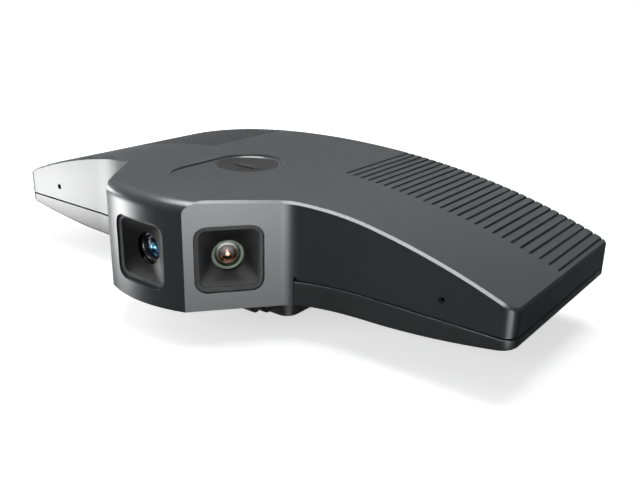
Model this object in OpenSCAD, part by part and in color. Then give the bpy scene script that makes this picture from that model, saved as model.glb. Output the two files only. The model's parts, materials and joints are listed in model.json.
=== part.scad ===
/* [Casing] */
// Width over the wing tips
casing_w = 248; // [244:1:256]
// Height of the casing at its middle
casing_h = 40.4; // [40:0.1:42]
// Height of the casing at the wing tips
tip_h = 19; // [16:0.1:20]
// Depth of a wing from its front wall to the back wall
wing_depth = 83; // [76:1:86]
// Wall thickness of both shells
wall = 2; // [1.8:0.1:2.2]
// Height of the parting line between the shells
parting_z = 9.7; // [9.2:0.1:10.2]
// Width of the open groove along the parting line
parting_gap = 0.7; // [0.4:0.1:1]
// Distance of the upright seams beside the prow from the middle
seam_x = 44.1; // [42:0.1:46]
// Rise of the underside at the wing tips
tip_rise = 5.8; // [5:0.1:7]
// Length of each wing's end over which the underside rises
rise_len = 60; // [55:1:65]
// Corner radius of a wing's front tip
tip_r = 4.8; // [3:0.1:6]
// Corner radius of a wing's back tip
back_r = 2.6; // [2.2:0.1:4]

/* [Prow] */
// Half the width of the prow's centre face
prow_half_w = 19.4; // [19:0.1:20.4]
// How far the centre face bulges forward
prow_bulge = 3.55; // [3:0.05:4]
// Angle of each side face to the centre face, degrees
face_turn = 50.4; // [49:0.2:52]
// Straight length of each side face
face_len = 33.1; // [32:0.1:35]
// Radius of the tight part of the sweep into the wing
sweep_r = 12.65; // [11:0.05:15]
// Direction where the tight sweep passes into the shoulder, degrees
shoulder_turn = 20.1; // [18:0.1:22]
// Radius of the long shoulder of the sweep
shoulder_r = 73.7; // [70:0.1:78]

/* [Grooves] */
// Distance between grooves
groove_pitch = 3.42; // [3.2:0.02:3.6]
// Width of a groove
groove_w = 1; // [0.8:0.1:1.2]
// Distance of the first groove from the middle
groove_first_x = 36.3; // [34:0.1:37]
// Least distance from the last groove to the wing's tip
groove_margin = 1.9; // [1.5:0.1:5]
// Length of the grooves, from their front ends to the back wall
groove_len = 47; // [36:0.5:48]

/* [Windows] */
// Side of the square camera windows
window_w = 24.2; // [23:0.1:24.6]
// Corner radius of the windows
window_r = 4.5; // [3.5:0.1:5.5]
// Height of the window centres above the underside
window_z = 18.6; // [18:0.1:19]
// Distance of a side window's centre from the prow's edge, along the face
window_along = 15.6; // [15.2:0.1:16.4]
// Depth of the frames behind the wall's outer face
window_recess = 0.8; // [0.5:0.05:1]
// Width of the trim frame
frame_w = 1.7; // [1.4:0.1:2]
// Depth of a lens hood from the frame's front
hood_depth = 3.2; // [3:0.1:3.4]
// Diameter of the round throat of a hood
throat_d = 11.6; // [11.4:0.1:12]

/* [Lens modules] */
// Outer diameter of the ring around the front glass
ring_d = 11.2; // [10.8:0.1:11.3]
// Width of that ring
ring_w = 1; // [0.8:0.1:1.2]
// Diameter of the lens barrel's head
barrel_head_d = 13; // [12.8:0.1:13.4]
// Diameter of the lens barrel's threaded body
barrel_d = 12; // [11.8:0.1:12.2]
// Length of the barrel's head
barrel_head_len = 3.4; // [3:0.1:3.8]
// Length of the barrel behind the head
barrel_len = 4.4; // [4.2:0.1:4.6]
// Side of the square lens holder
holder_w = 14; // [13.8:0.1:14.2]
// Side of the square sensor board
sensor_w = 14; // [13.6:0.1:14.4]
// Thickness of a sensor board
sensor_t = 1.2; // [1:0.1:1.4]

/* [Privacy slider] */
// Width of the slider's opening in the top
slot_w = 28.4; // [27:0.1:29.6]
// Length of the slider's opening
slot_len = 49.4; // [48:0.1:50.6]
// Distance of the opening's front end behind the prow's edges
slot_front_y = 18.4; // [18:0.1:19.4]
// Travel of the slider
slider_travel = 15; // [14:0.1:15.6]
// Thickness of the cover's lip over the slider
lip_t = 0.6; // [0.5:0.05:0.7]
// Thickness of the slider's plate
slider_t = 1.2; // [1:0.1:1.3]
// Overlap of the slider under the lip
slider_overlap = 1.5; // [1.2:0.1:1.8]
// Diameter of the finger dish
dish_d = 25.4; // [24:0.1:26]
// Depth of the finger dish
dish_depth = 1.3; // [1:0.1:1.4]
// Length of the grip bar in the dish
grip_len = 12.7; // [10:0.1:14]
// Width of the grip bar
grip_w = 3.4; // [3:0.1:4]

/* [Shutter] */
// Thickness of the shutter's folded strip
curtain_t = 0.7; // [0.6:0.05:0.8]
// Overlap of the strip over a throat, above and below
curtain_margin = 0.3; // [0.2:0.05:0.35]
// Diameter of the pins that the slider's ramps drive
ramp_pin_d = 2; // [1.8:0.1:2.2]

/* [Microphones] */
// Distance of a microphone hole from the wing's tip
mic_inset = 24.6; // [22:0.1:27]
// Height of a microphone hole
mic_z = 16; // [16:0.1:17]
// Diameter of a microphone hole
mic_hole_d = 1.7; // [1.4:0.1:2]

/* [Clip] */
// Width of the clip's leg
leg_w = 66; // [64:1:68]
// Thickness of the leg
leg_t = 6.4; // [6.2:0.1:6.8]
// Width of the arm
arm_w = 46; // [42:1:46]
// Thickness of the arm
arm_t = 3.2; // [3:0.1:3.4]
// Thickness of the plate screwed to the casing
plate_t = 2.2; // [2:0.1:2.4]
// Width of the lip at the front of the arm
lip_w = 47; // [46:1:50]
// Distance of the front hinge behind the prow's edges
front_hinge_y = 33; // [32.5:0.1:33.5]
// Distance between the front and the rear hinge
hinge_span = 63; // [62:0.5:64]
// Radius of the front hinge's knuckles
front_knuckle_r = 3.6; // [3.4:0.1:3.8]
// Radius of the rear hinge's knuckles
rear_knuckle_r = 4.6; // [4.4:0.1:4.6]
// Diameter of the hinge pins
hinge_pin_d = 3; // [2.6:0.1:3.2]
// Height that the rubber pads stand proud
pad_proud = 0.6; // [0.4:0.1:0.8]
// Diameter of the rubber pads
pad_d = 9; // [8:0.1:10]
// Core diameter of the tripod thread, 1/4 inch 20 per inch
thread_d = 5.2; // [5.1:0.02:5.3]
// Depth of the tripod thread
thread_len = 5.4; // [5:0.1:5.6]

/* [Electronics] */
// Width of the main board
board_w = 76; // [72:1:78]
// Thickness of the main board
board_t = 1.6; // [1.4:0.1:1.8]
// Height of the main board's underside
board_z = 4; // [3.8:0.1:4]
// Width of the cable socket's shell
usb_w = 8.94; // [8.9:0.02:9]
// Height of the cable socket's shell
usb_h = 3.2; // [3.1:0.05:3.2]

/* [Hidden] */
$fn = 48;

// Overrun of every cut, and the clearances that the fits share
cut = 1;
slack = 0.1;
running = 0.05;
air = 0.4;

// Casing outline
half_w = casing_w / 2;
prow_r = (pow(prow_half_w, 2) + pow(prow_bulge, 2)) / (2 * prow_bulge);
prow_centre_y = prow_r - prow_bulge;
along = [cos(face_turn), sin(face_turn)];
inward = [-sin(face_turn), cos(face_turn)];
sweep_start = [prow_half_w, 0] + face_len * along;
sweep_centre = sweep_start - sweep_r * inward;
shoulder_start = sweep_centre + sweep_r * [-sin(shoulder_turn), cos(shoulder_turn)];
shoulder_centre = shoulder_start - shoulder_r * [-sin(shoulder_turn), cos(shoulder_turn)];
wing_y = shoulder_centre[1] + shoulder_r;
back_y = wing_y + wing_depth;
mid_y = (back_y - prow_bulge) / 2;
least_r = 0.3;
rise_start_x = half_w - rise_len;
groove_count = floor((half_w - groove_margin - groove_first_x) / groove_pitch) + 1;

// Share of the arch's drop that its fourth-power term makes
arch_quartic_share = 0.205;
arch_steps = 48;
outline_steps = 10;

// Windows and lens modules: depths are measured inward from a frame's front face
side_spot = [prow_half_w, 0] + window_along * along + window_recess * inward;
centre_spot_y = prow_centre_y - sqrt(pow(prow_r, 2) - pow(window_w / 2, 2)) + window_recess;
frame_gap = 0.15;
frame_t = wall;
hood_flange = 1.2;
hood_lip_depth = 0.5;
throat_len = 0.3;
curtain_air = 0.3;
curtain_depth = hood_depth + curtain_air;
ring_depth = curtain_depth + curtain_t + curtain_air;
ring_t = 0.5;
head_depth = ring_depth + ring_t;
body_depth = head_depth + barrel_head_len;
holder_gap_share = 0.4;
holder_depth = body_depth + holder_gap_share * barrel_head_len;
holder_t = 5;
sensor_depth = holder_depth + holder_t;
upright_depth = sensor_depth + sensor_t;
upright_t = 1.8;
glass_r = 5;
glass_edge_t = 1;
glass_d = ring_d - 2 * ring_w;

// Privacy slider and shutter
throat_top = window_z + throat_d / 2;
curtain_bottom = throat_top + curtain_margin;
curtain_h = throat_d + 2 * curtain_margin;
curtain_drop = curtain_h;
blade_rim = 1.2;
blade_half_w = throat_d / 2 + blade_rim;
slider_clear = 0.08;
slider_drop = lip_t + slider_clear;
slider_w = slot_w + 2 * slider_overlap;
slider_front_y = slot_front_y - slider_overlap;
slider_back_y = slot_front_y + slot_len + slider_overlap + slider_travel;
dish_y = slot_front_y + slot_len - slot_w / 2;
dish_floor_t = 1.1;
dish_rim = 0.6;
boss_r = dish_d / 2 + dish_rim;
cheek_t = 0.9;
cheek_x = 8.9;
curtain_arm_t = 0.9;
curtain_arm_x = cheek_x - 2 * slack;
ramp_pin_y = 21;
ramp_rim = 1.4;
ramp_pin_down = 4.2;
ramp_pin_z = curtain_bottom + curtain_h - ramp_pin_down;
ramp_len = sqrt(pow(slider_travel, 2) + pow(curtain_drop, 2));
ramp_angle = atan(curtain_drop / slider_travel);
guide_t = 1.1;
rail_gap = 0.1;
guide_drop = max(wall, slider_drop + slider_t + rail_gap);
rail_clear = 0.7;
rail_reach = 3;
rail_inner_x = boss_r + rail_clear;
rail_outer_x = slider_w / 2 + rail_reach;
guide_front_y = 7;
guide_bar = 6;

// Tongue of the lower shell, which locates the upper one
tongue_t = 1.1;
tongue_h = 1.8;

// Boards and their posts
board_front_y = 42;
board_back_y = back_y - wall - slack - tongue_t - air;
tongue_half_w = 14;
tongue_front_y = 28;
board_top = board_z + board_t;
post_d = 6;
screw_core = 1.6;
screw_hole = screw_core + 2 * slack;
screw_head_d = 3.6;
screw_head_h = 1.3;
screw_bite = 2.4;
post_side_in = 4;
post_end_in = 5;
board_screw_x = board_w / 2 - post_side_in;
board_screw_ys = [board_front_y + post_end_in, board_back_y - post_end_in];
bracket_t = 1.6;
bracket_screw_depth = 11;
can_w = 30;
can_d = 28;
can_h = 2.4;
can_y = 66;
pad_t = 1;
spreader_leg_d = 4;
spreader_w = 2 * (board_screw_x - spreader_leg_d / 4);
spreader_d = 44;
spreader_t = 2;
spreader_z = board_top + can_h + pad_t;
connector_t = 2.4;
lead_plug = [5, 7];
lead_plug_y = board_front_y + 12;
flex_w = 6;
flex_t = 0.3;
lead_d = 1.6;
usb_len = 7.4;
usb_wall = 0.3;

// Cover screws: one pair beside the board and one pair in each wing
boss_drop = 1.6;
joint_z = parting_z - boss_drop;
boss_d = 6.4;
boss_pilot = 1.8;
boss_pilot_len = 9;
cover_screw_bite = 6;
cover_screw_core = 1.6;
cover_head_d = 3.8;
cover_head_h = 1.4;
cover_floor = 1.4;
inner_boss_x = 56;
outer_boss_x = half_w - 17;
front_boss_y = wing_y + 9.5;
back_boss_y = back_y - 8;
cover_spots = [for (x = [inner_boss_x, outer_boss_x], y = [front_boss_y, back_boss_y]) [x, y]];

// Microphones
mic_x = half_w - mic_inset;
boot_w = 7;
boot_t = 1.8;
mic_board_w = 13;
mic_board_h = 9;
mic_board_t = 1.2;
mic_y = wing_y + wall;

// Clip, below the casing's underside
plate_gap = 0.4;
arm_top = -plate_t - plate_gap;
leg_top = arm_top - arm_t - plate_gap;
leg_bottom = leg_top - leg_t;
clip_h = pad_proud - leg_bottom;
front_hinge_z = -5.2;
rear_hinge_z = leg_bottom + rear_knuckle_r;
rear_hinge_y = front_hinge_y + hinge_span;
knuckle_gap = 0.3;
front_ear_w = 5;
leg_setback = 6.6;
leg_front_y = front_hinge_y + leg_setback;
leg_corner_r = 5;
plate_w = lip_w + 2 * (knuckle_gap + front_ear_w);
plate_setback = 9;
plate_back_y = rear_hinge_y - plate_setback;
lip_reach = 5.2;
lip_t_arm = 5.6;
rear_inner_w = 31;
insert_d = 9;
insert_flange_d = 12;
insert_flange_t = 0.8;
pad_side_in = 7;
pad_front_in = 8;
pad_back_in = 10;
pad_x = leg_w / 2 - pad_side_in;
pad_spots = [[pad_x, leg_front_y + pad_front_in], [pad_x, rear_hinge_y - pad_back_in]];
pad_sink = 0.5;
plate_screw_x = 16;
plate_screw_front_in = 14;
plate_screw_back_in = 6;
mount_screw_spots = [[plate_screw_x, front_hinge_y + plate_screw_front_in],
                     [plate_screw_x, plate_back_y - plate_screw_back_in]];
screw_tip_gap = 0.4;

// Height of the top surface at a distance from the middle
function arch_z(x) = let (s = min(abs(x) / half_w, 1.2))
    casing_h - (casing_h - tip_h)
        * ((1 - arch_quartic_share) * pow(s, 2) + arch_quartic_share * pow(s, 4));

// Height of the underside at a distance from the middle
function floor_z(x) = let (s = max(abs(x) - rise_start_x, 0) / (half_w - rise_start_x))
    tip_rise * pow(s, 2);

// Points of an arc, with both ends
function arc_points(c, r, a0, a1, n) =
    [for (i = [0:n]) c + r * [cos(a0 + (a1 - a0) * i / n), sin(a0 + (a1 - a0) * i / n)]];

// Right half of the casing's outline, moved inward by a distance
function prow_points(inset) =
    let (p = [prow_half_w, 0] + inset * inward - [0, prow_centre_y],
         b = p * along,
         t = -b - sqrt(max(pow(b, 2) - p * p + pow(prow_r - inset, 2), 0)),
         q = p + t * along,
         a = atan2(q[1], q[0]))
    arc_points([0, prow_centre_y], prow_r - inset, -90, a, outline_steps);
function half_outline(inset) =
    let (tip = max(tip_r - inset, least_r), back = max(back_r - inset, least_r),
         x = half_w - inset)
    concat(
        prow_points(inset),
        arc_points(sweep_centre, sweep_r + inset, 90 + face_turn, 90 + shoulder_turn, outline_steps),
        arc_points(shoulder_centre, shoulder_r + inset, 90 + shoulder_turn, 90, outline_steps),
        arc_points([x - tip, wing_y + inset + tip], tip, -90, 0, outline_steps),
        arc_points([x - back, back_y - inset - back], back, 0, 90, outline_steps));
function mirrored(points) = [for (i = [len(points) - 1:-1:1]) [-points[i][0], points[i][1]]];
function outline(inset) = let (h = half_outline(inset)) concat(h, mirrored(h));

// Upright prism on the casing's outline
module outline_prism(inset, z0, z1) {
    translate([0, 0, z0]) linear_extrude(z1 - z0) polygon(outline(inset));
}

// Everything below the arched top, lowered by a distance
module under_arch(drop) {
    reach = half_w + cut;
    points = concat(
        [for (i = [0:arch_steps]) let (x = reach * (2 * i / arch_steps - 1)) [x, arch_z(x) - drop]],
        [[reach, -tip_h], [-reach, -tip_h]]);
    translate([0, back_y + cut, 0]) rotate([90, 0, 0])
        linear_extrude(back_y + prow_bulge + 2 * cut) polygon(points);
}

// Everything above the curved underside, lifted by a distance
module above_floor(lift) {
    reach = half_w + cut;
    points = concat(
        [for (i = [0:arch_steps]) let (x = reach * (2 * i / arch_steps - 1)) [x, floor_z(x) + lift]],
        [[reach, casing_h + cut], [-reach, casing_h + cut]]);
    translate([0, back_y + cut, 0]) rotate([90, 0, 0])
        linear_extrude(back_y + prow_bulge + 2 * cut) polygon(points);
}

// Box given by its low and high corners
module span(low, high) {
    translate(low) cube(high - low);
}

// Both the piece and its mirror image
module both_sides() {
    children();
    mirror([1, 0, 0]) children();
}

// Cylinder along Y, X or down from a point
module rod_y(p, d, len) {
    translate(p) rotate([-90, 0, 0]) cylinder(d = d, h = len);
}
module rod_x(p, d, len) {
    translate(p) rotate([0, 90, 0]) cylinder(d = d, h = len);
}

// Square with round corners, built from plain squares and circles
module round_square(w, h, r) {
    square([w - 2 * r, h], center = true);
    square([w, h - 2 * r], center = true);
    for (sx = [-1, 1], sy = [-1, 1])
        translate([sx * (w / 2 - r), sy * (h / 2 - r)]) circle(r);
}

// Slot with round ends along Y, from its two ends
module obround(w, y0, y1) {
    translate([0, y0 + w / 2]) circle(d = w);
    translate([0, y1 - w / 2]) circle(d = w);
    translate([-w / 2, y0 + w / 2]) square([w, y1 - y0 - w]);
}

// Places a lens module: X runs along the face, Y goes inward and Z is up
module station(side) {
    spot = side == 0 ? [0, centre_spot_y] : [side * side_spot[0], side_spot[1]];
    translate([spot[0], spot[1], window_z]) rotate([0, 0, side * face_turn]) children();
}

// Rounded square prism in a station, from one depth to another
module square_plug(w, r, d0, d1) {
    translate([0, d1, 0]) rotate([90, 0, 0]) linear_extrude(d1 - d0) round_square(w, w, r);
}

// Round rod in a station, from one depth to another
module plug(d, d0, d1) {
    rod_y([0, d0, 0], d, d1 - d0);
}

// Screw with its head's seat at the origin and its tip along -Z
module screw(core, head_d, head_h, len) {
    translate([0, 0, -len]) cylinder(d = core, h = len);
    difference() {
        cylinder(d = head_d, h = head_h);
        translate([0, 0, head_h / 2]) cylinder(d = head_d / 2, h = head_h, $fn = 6);
    }
}

// The zone beside the prow where the upper shell reaches the underside
module prow_zone(extra) {
    span([-seam_x - extra, -prow_bulge - cut, -cut], [seam_x + extra, wing_y, parting_z + cut]);
}

module slider_window() {
    translate([0, 0, tip_h]) linear_extrude(casing_h)
        obround(slot_w, slot_front_y, slot_front_y + slot_len);
}

// Room for the slider's plate below the lip, over its whole travel
module slider_room() {
    difference() {
        translate([0, 0, tip_h]) linear_extrude(casing_h)
            obround(slider_w + 4 * slack, slider_front_y - slider_travel - air, slider_back_y + air);
        difference() {
            span([-half_w, -prow_bulge - cut, -cut], [half_w, back_y, casing_h * 2]);
            under_arch(lip_t);
        }
    }
}

module top_cover() {
    color([0.30, 0.30, 0.32]) difference() {
        union() {
            difference() {
                intersection() {
                    outline_prism(0, 0, casing_h + cut);
                    under_arch(0);
                }
                intersection() {
                    outline_prism(wall, -cut, casing_h);
                    under_arch(wall);
                }
            }
            intersection() {
                both_sides() for (p = cover_spots)
                    translate([p[0], p[1], joint_z]) cylinder(d = boss_d, h = casing_h);
                under_arch(wall / 2);
            }
        }
        difference() {
            span([-half_w - cut, -prow_bulge - cut, -cut], [half_w + cut, back_y + cut, parting_z]);
            prow_zone(0);
            both_sides() for (p = cover_spots)
                translate([p[0], p[1], joint_z]) cylinder(d = boss_d, h = parting_z);
        }
        both_sides() for (p = cover_spots)
            translate([p[0], p[1], joint_z - cut]) cylinder(d = boss_pilot, h = boss_pilot_len + cut);
        for (side = [-1, 0, 1]) station(side)
            square_plug(window_w, window_r, -wall - prow_bulge, 2 * wall);
        slider_window();
        slider_room();
        both_sides() for (i = [0:groove_count - 1]) let (x = groove_first_x + i * groove_pitch)
            rod_y([x, back_y - groove_len, arch_z(x) - 0.3 * groove_w], groove_w, groove_len + cut);
        both_sides() rod_y([mic_x, wing_y - cut, mic_z], mic_hole_d, wall + 2 * cut);
    }
}

module bottom_cover() {
    color([0.13, 0.13, 0.14]) difference() {
        union() {
            difference() {
                intersection() {
                    outline_prism(0, -cut, parting_z - parting_gap);
                    above_floor(0);
                }
                intersection() {
                    outline_prism(wall, -cut, casing_h);
                    above_floor(wall);
                }
            }
            intersection() {
                difference() {
                    outline_prism(wall + slack, 0, parting_z + tongue_h);
                    outline_prism(wall + slack + tongue_t, -cut, casing_h);
                    translate([0, 0, board_z]) prow_zone(0);
                }
                above_floor(wall / 2);
            }
            intersection() {
                union() {
                    both_sides() for (p = cover_spots)
                        translate([p[0], p[1], 0]) cylinder(d = boss_d, h = joint_z);
                    both_sides() for (y = board_screw_ys)
                        translate([board_screw_x, y, 0]) cylinder(d = post_d, h = board_z);
                    both_sides() for (p = mount_screw_spots)
                        translate([p[0], p[1], 0]) cylinder(d = post_d, h = board_z);
                    for (side = [-1, 0, 1]) station(side)
                        translate([0, bracket_screw_depth, -window_z]) cylinder(d = post_d, h = board_z);
                }
                above_floor(wall / 2);
            }
        }
        difference() {
            prow_zone(frame_gap);
            outline_prism(wall + slack, -2 * cut, casing_h);
        }
        both_sides() for (p = cover_spots) translate([p[0], p[1], -cut]) {
            cylinder(d = screw_hole + 2 * slack, h = casing_h);
            cylinder(d = cover_head_d + 4 * slack, h = cut + floor_z(p[0]) + cover_floor);
        }
        both_sides() for (y = board_screw_ys)
            translate([board_screw_x, y, wall / 2]) cylinder(d = screw_hole, h = board_z);
        both_sides() for (p = mount_screw_spots)
            translate([p[0], p[1], -cut]) cylinder(d = screw_hole, h = board_z + cut - slack);
        for (side = [-1, 0, 1]) station(side)
            translate([0, bracket_screw_depth, wall / 2 - window_z]) cylinder(d = screw_hole, h = board_z);
        translate([0, back_y + cut, board_top + usb_h / 2]) rotate([90, 0, 0])
            linear_extrude(4 * wall + cut)
                round_square(usb_w + 2 * slack, usb_h + 2 * slack, usb_h / 2);
    }
}

module window_frame(side) {
    color([0.27, 0.27, 0.28]) station(side) difference() {
        square_plug(window_w - 2 * frame_gap, window_r - frame_gap, 0, frame_t);
        square_plug(window_w - 2 * frame_w, window_r - frame_w, -cut, frame_t + cut);
    }
}

module lens_hood(side) {
    inner = window_w - 2 * frame_w;
    color([0.06, 0.06, 0.07]) station(side) difference() {
        union() {
            square_plug(inner - 2 * slack, window_r - frame_w, hood_lip_depth, frame_t);
            square_plug(window_w + 2 * hood_flange, window_r, frame_t, hood_depth);
        }
        hull() {
            square_plug(inner - 6 * slack, window_r - frame_w, hood_lip_depth - cut / 2, hood_lip_depth);
            plug(throat_d, hood_depth - throat_len, hood_depth - throat_len / 2);
        }
        plug(throat_d, hood_depth - throat_len, hood_depth + cut);
    }
}

module lens_ring(side) {
    color([0.45, 0.50, 0.45]) station(side) difference() {
        plug(ring_d, ring_depth, head_depth);
        plug(glass_d + 2 * slack, ring_depth - cut, head_depth + cut);
    }
}

// The front element bulges towards the window from a cylindrical edge
module front_glass(side) {
    bulge = ring_t + curtain_air;
    r = (pow(glass_d / 2, 2) + pow(bulge, 2)) / (2 * bulge);
    color([0.25, 0.30, 0.40]) station(side) union() {
        plug(glass_d, head_depth + curtain_air, head_depth + curtain_air + glass_edge_t);
        intersection() {
            translate([0, ring_depth + r, 0]) sphere(r = r, $fn = 96);
            plug(glass_d, ring_depth - cut, head_depth + curtain_air);
        }
    }
}

module lens_barrel(side) {
    seat = head_depth + curtain_air + glass_edge_t;
    color([0.08, 0.08, 0.09]) station(side) difference() {
        union() {
            plug(barrel_head_d, head_depth, body_depth);
            plug(barrel_d, head_depth, body_depth + barrel_len);
        }
        plug(glass_d + 2 * running, head_depth - cut, seat);
        plug(glass_d - 2 * ring_w, head_depth, body_depth + barrel_len + cut);
    }
}

module lens_holder(side) {
    color([0.05, 0.05, 0.05]) station(side) difference() {
        translate([-holder_w / 2, holder_depth, -holder_w / 2]) cube([holder_w, holder_t, holder_w]);
        plug(barrel_d + 2 * running, holder_depth - cut, body_depth + barrel_len + running);
        plug(barrel_d - 2 * ring_w, holder_depth, sensor_depth + cut);
    }
}

module sensor_board(side) {
    chip_w = 6.8;
    chip_t = 0.9;
    color([0.05, 0.25, 0.15]) station(side) union() {
        translate([-sensor_w / 2, sensor_depth, -sensor_w / 2]) cube([sensor_w, sensor_t, sensor_w]);
        translate([-chip_w / 2, sensor_depth - chip_t, -chip_w / 2]) cube([chip_w, chip_t + cut / 2, chip_w]);
    }
}

module camera_bracket() {
    doorway_w = 10;
    doorway_top = -4;
    bridge_w = 28;
    bridge_y = centre_spot_y + upright_depth + upright_t;
    color([0.55, 0.56, 0.58]) difference() {
        union() {
            for (side = [-1, 0, 1]) station(side) {
                translate([-sensor_w / 2, upright_depth, board_z - window_z])
                    cube([sensor_w, upright_t, window_z - board_z + sensor_w / 2]);
                translate([-sensor_w / 2, body_depth, board_z - window_z])
                    cube([sensor_w, upright_depth + upright_t - body_depth, bracket_t]);
            }
            span([-bridge_w / 2, bridge_y - 2 * upright_t, board_z],
                 [bridge_w / 2, bridge_y, board_z + bracket_t]);
        }
        for (side = [-1, 0, 1]) station(side) {
            span([-doorway_w / 2, upright_depth - cut, board_top + bracket_t - window_z - cut / 2],
                 [doorway_w / 2, upright_depth + upright_t + cut, doorway_top]);
            translate([0, bracket_screw_depth, -window_z]) cylinder(d = screw_hole, h = board_top + cut);
        }
    }
}

module bracket_screws() {
    color([0.7, 0.7, 0.72]) for (side = [-1, 0, 1]) station(side)
        translate([0, bracket_screw_depth, board_z + bracket_t - window_z])
            screw(screw_core, screw_head_d, screw_head_h, bracket_t + screw_bite);
}

// Ribbon from a sensor board, through its upright and down to the main board
module camera_flexes() {
    ribbon_down = 5.6;
    ribbon_reach = 9;
    foot = 2;
    lead_in = 1;
    start = [upright_depth, -ribbon_down];
    landing = [upright_depth + ribbon_reach, board_top - window_z];
    color([0.75, 0.45, 0.15]) for (side = [-1, 0, 1]) station(side)
        translate([-flex_w / 2, 0, 0]) rotate([90, 0, 90]) linear_extrude(flex_w) polygon([
            start, start + [upright_t + lead_in, 0], landing - [foot, 0], landing,
            landing + [0, flex_t], landing + [flex_t - foot, flex_t],
            start + [upright_t + lead_in + flex_t, flex_t], start + [0, flex_t]]);
}

// Solid between two depths below the arch, inside a flat outline
module arch_band(drop0, drop1) {
    intersection() {
        translate([0, 0, tip_h]) linear_extrude(casing_h) children();
        difference() {
            under_arch(drop0);
            under_arch(drop1);
        }
    }
}

module slider_guide() {
    color([0.20, 0.20, 0.21]) arch_band(guide_drop, guide_drop + guide_t) difference() {
        translate([-rail_outer_x, guide_front_y])
            square([2 * rail_outer_x, slider_back_y + guide_bar - guide_front_y]);
        translate([-rail_inner_x, guide_front_y - cut])
            square([2 * rail_inner_x, slider_back_y + 2 * air - guide_front_y + cut]);
    }
}

// Leaf spring on the guide's cross bar, whose bent end presses under the slider
module detent_spring() {
    spring_t = 0.3;
    spring_w = 5;
    tail_in = 1;
    tail = guide_bar - tail_in;
    z = arch_z(spring_w) - guide_drop - guide_t - 2 * spring_t;
    reach = 14;
    toe = 2;
    color([0.75, 0.75, 0.77]) translate([-spring_w / 2, slider_back_y, z])
        rotate([90, 0, 90]) linear_extrude(spring_w) polygon([
            [tail, spring_t], [tail, 2 * spring_t], [0, 2 * spring_t], [toe - reach, spring_t],
            [-reach, 3.5 * spring_t], [-reach - toe, spring_t], [-reach - toe, 0],
            [-reach, 2.5 * spring_t], [toe - reach, 0], [0, spring_t]]);
}

module privacy_slider() {
    floor_top = casing_h - slider_drop - dish_depth;
    color([0.30, 0.30, 0.32]) difference() {
        union() {
            arch_band(slider_drop, slider_drop + slider_t)
                obround(slider_w, slider_front_y, slider_back_y);
            intersection() {
                translate([0, dish_y, floor_top - dish_floor_t]) cylinder(r = boss_r, h = casing_h);
                under_arch(slider_drop);
            }
            both_sides() difference() {
                intersection() {
                    span([cheek_x, ramp_pin_y - ramp_pin_d / 2 - ramp_rim,
                          ramp_pin_z - curtain_drop - ramp_pin_d / 2 - ramp_rim],
                         [cheek_x + cheek_t, ramp_pin_y + slider_travel + ramp_pin_d / 2 + ramp_rim,
                          casing_h]);
                    under_arch(slider_drop + slider_t / 2);
                }
                arch_band(0, wall + air) difference() {
                    square([2 * slider_w, slider_front_y + slider_w]);
                    obround(slider_w, slider_front_y, slider_back_y);
                }
                translate([cheek_x - cut, ramp_pin_y, ramp_pin_z]) rotate([-ramp_angle, 0, 0])
                    for (y = [0, ramp_len]) rod_x([0, y, 0], ramp_pin_d + 2 * running, 4 * cut);
                translate([cheek_x - cut, ramp_pin_y, ramp_pin_z]) rotate([-ramp_angle, 0, 0])
                    translate([0, 0, -ramp_pin_d / 2 - running])
                        cube([4 * cut, ramp_len, ramp_pin_d + 2 * running]);
            }
        }
        translate([0, dish_y, floor_top])
            cylinder(d1 = dish_d - 2 * dish_depth, d2 = dish_d + 2 * slider_drop,
                     h = dish_depth + slider_drop);
    }
}

module slider_grip() {
    floor_top = casing_h - slider_drop - dish_depth;
    grip_h = 0.6;
    color([0.05, 0.05, 0.05]) translate([0, dish_y, floor_top]) linear_extrude(grip_h)
        round_square(grip_len, grip_w, grip_w / 2 - slack);
}

// Where the strip's centre and side planes meet, at a depth
function fold_x(d) = let (p = side_spot + d * inward)
    p[0] + along[0] * (centre_spot_y + d - p[1]) / along[1];
function blade_end(d) = side_spot + d * inward + blade_half_w * along;

module shutter_curtain() {
    d0 = curtain_depth;
    d1 = curtain_depth + curtain_t;
    front = [[fold_x(d0), centre_spot_y + d0], blade_end(d0)];
    rear = [blade_end(d1), [fold_x(d1), centre_spot_y + d1]];
    right = concat(front, rear);
    left = [for (i = [3:-1:0]) [-right[i][0], right[i][1]]];
    arm_h = 5;
    color([0.10, 0.10, 0.11]) union() {
        translate([0, 0, curtain_bottom]) linear_extrude(curtain_h)
            polygon([front[0], front[1], rear[0], rear[1], left[0], left[1], left[2], left[3]]);
        both_sides() {
            span([curtain_arm_x - curtain_arm_t, centre_spot_y + d1 - curtain_t / 2,
                  ramp_pin_z - arm_h / 2],
                 [curtain_arm_x, ramp_pin_y + ramp_pin_d, ramp_pin_z + arm_h / 2]);
            rod_x([curtain_arm_x - curtain_arm_t, ramp_pin_y, ramp_pin_z], ramp_pin_d,
                  cheek_x + cheek_t + slack - curtain_arm_x + curtain_arm_t);
        }
    }
}

module main_board() {
    chip_w = 8;
    chip_t = 1;
    chip_gap = 3;
    chip_in = 6;
    color([0.05, 0.25, 0.15]) difference() {
        union() {
            span([-board_w / 2, board_front_y, board_z], [board_w / 2, board_back_y, board_top]);
            span([-tongue_half_w, tongue_front_y, board_z],
                 [tongue_half_w, board_front_y + cut, board_top]);
            both_sides() span([board_w / 2 - lead_plug[0], lead_plug_y, board_top - cut],
                 [board_w / 2, lead_plug_y + lead_plug[1], board_top + connector_t]);
            both_sides() span([can_w / 2 + chip_gap, can_y + chip_in, board_top - cut],
                 [can_w / 2 + chip_gap + chip_w, can_y + chip_in + chip_w, board_top + chip_t]);
        }
        both_sides() for (y = board_screw_ys)
            translate([board_screw_x, y, 0]) cylinder(d = screw_hole, h = casing_h);
    }
}

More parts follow.
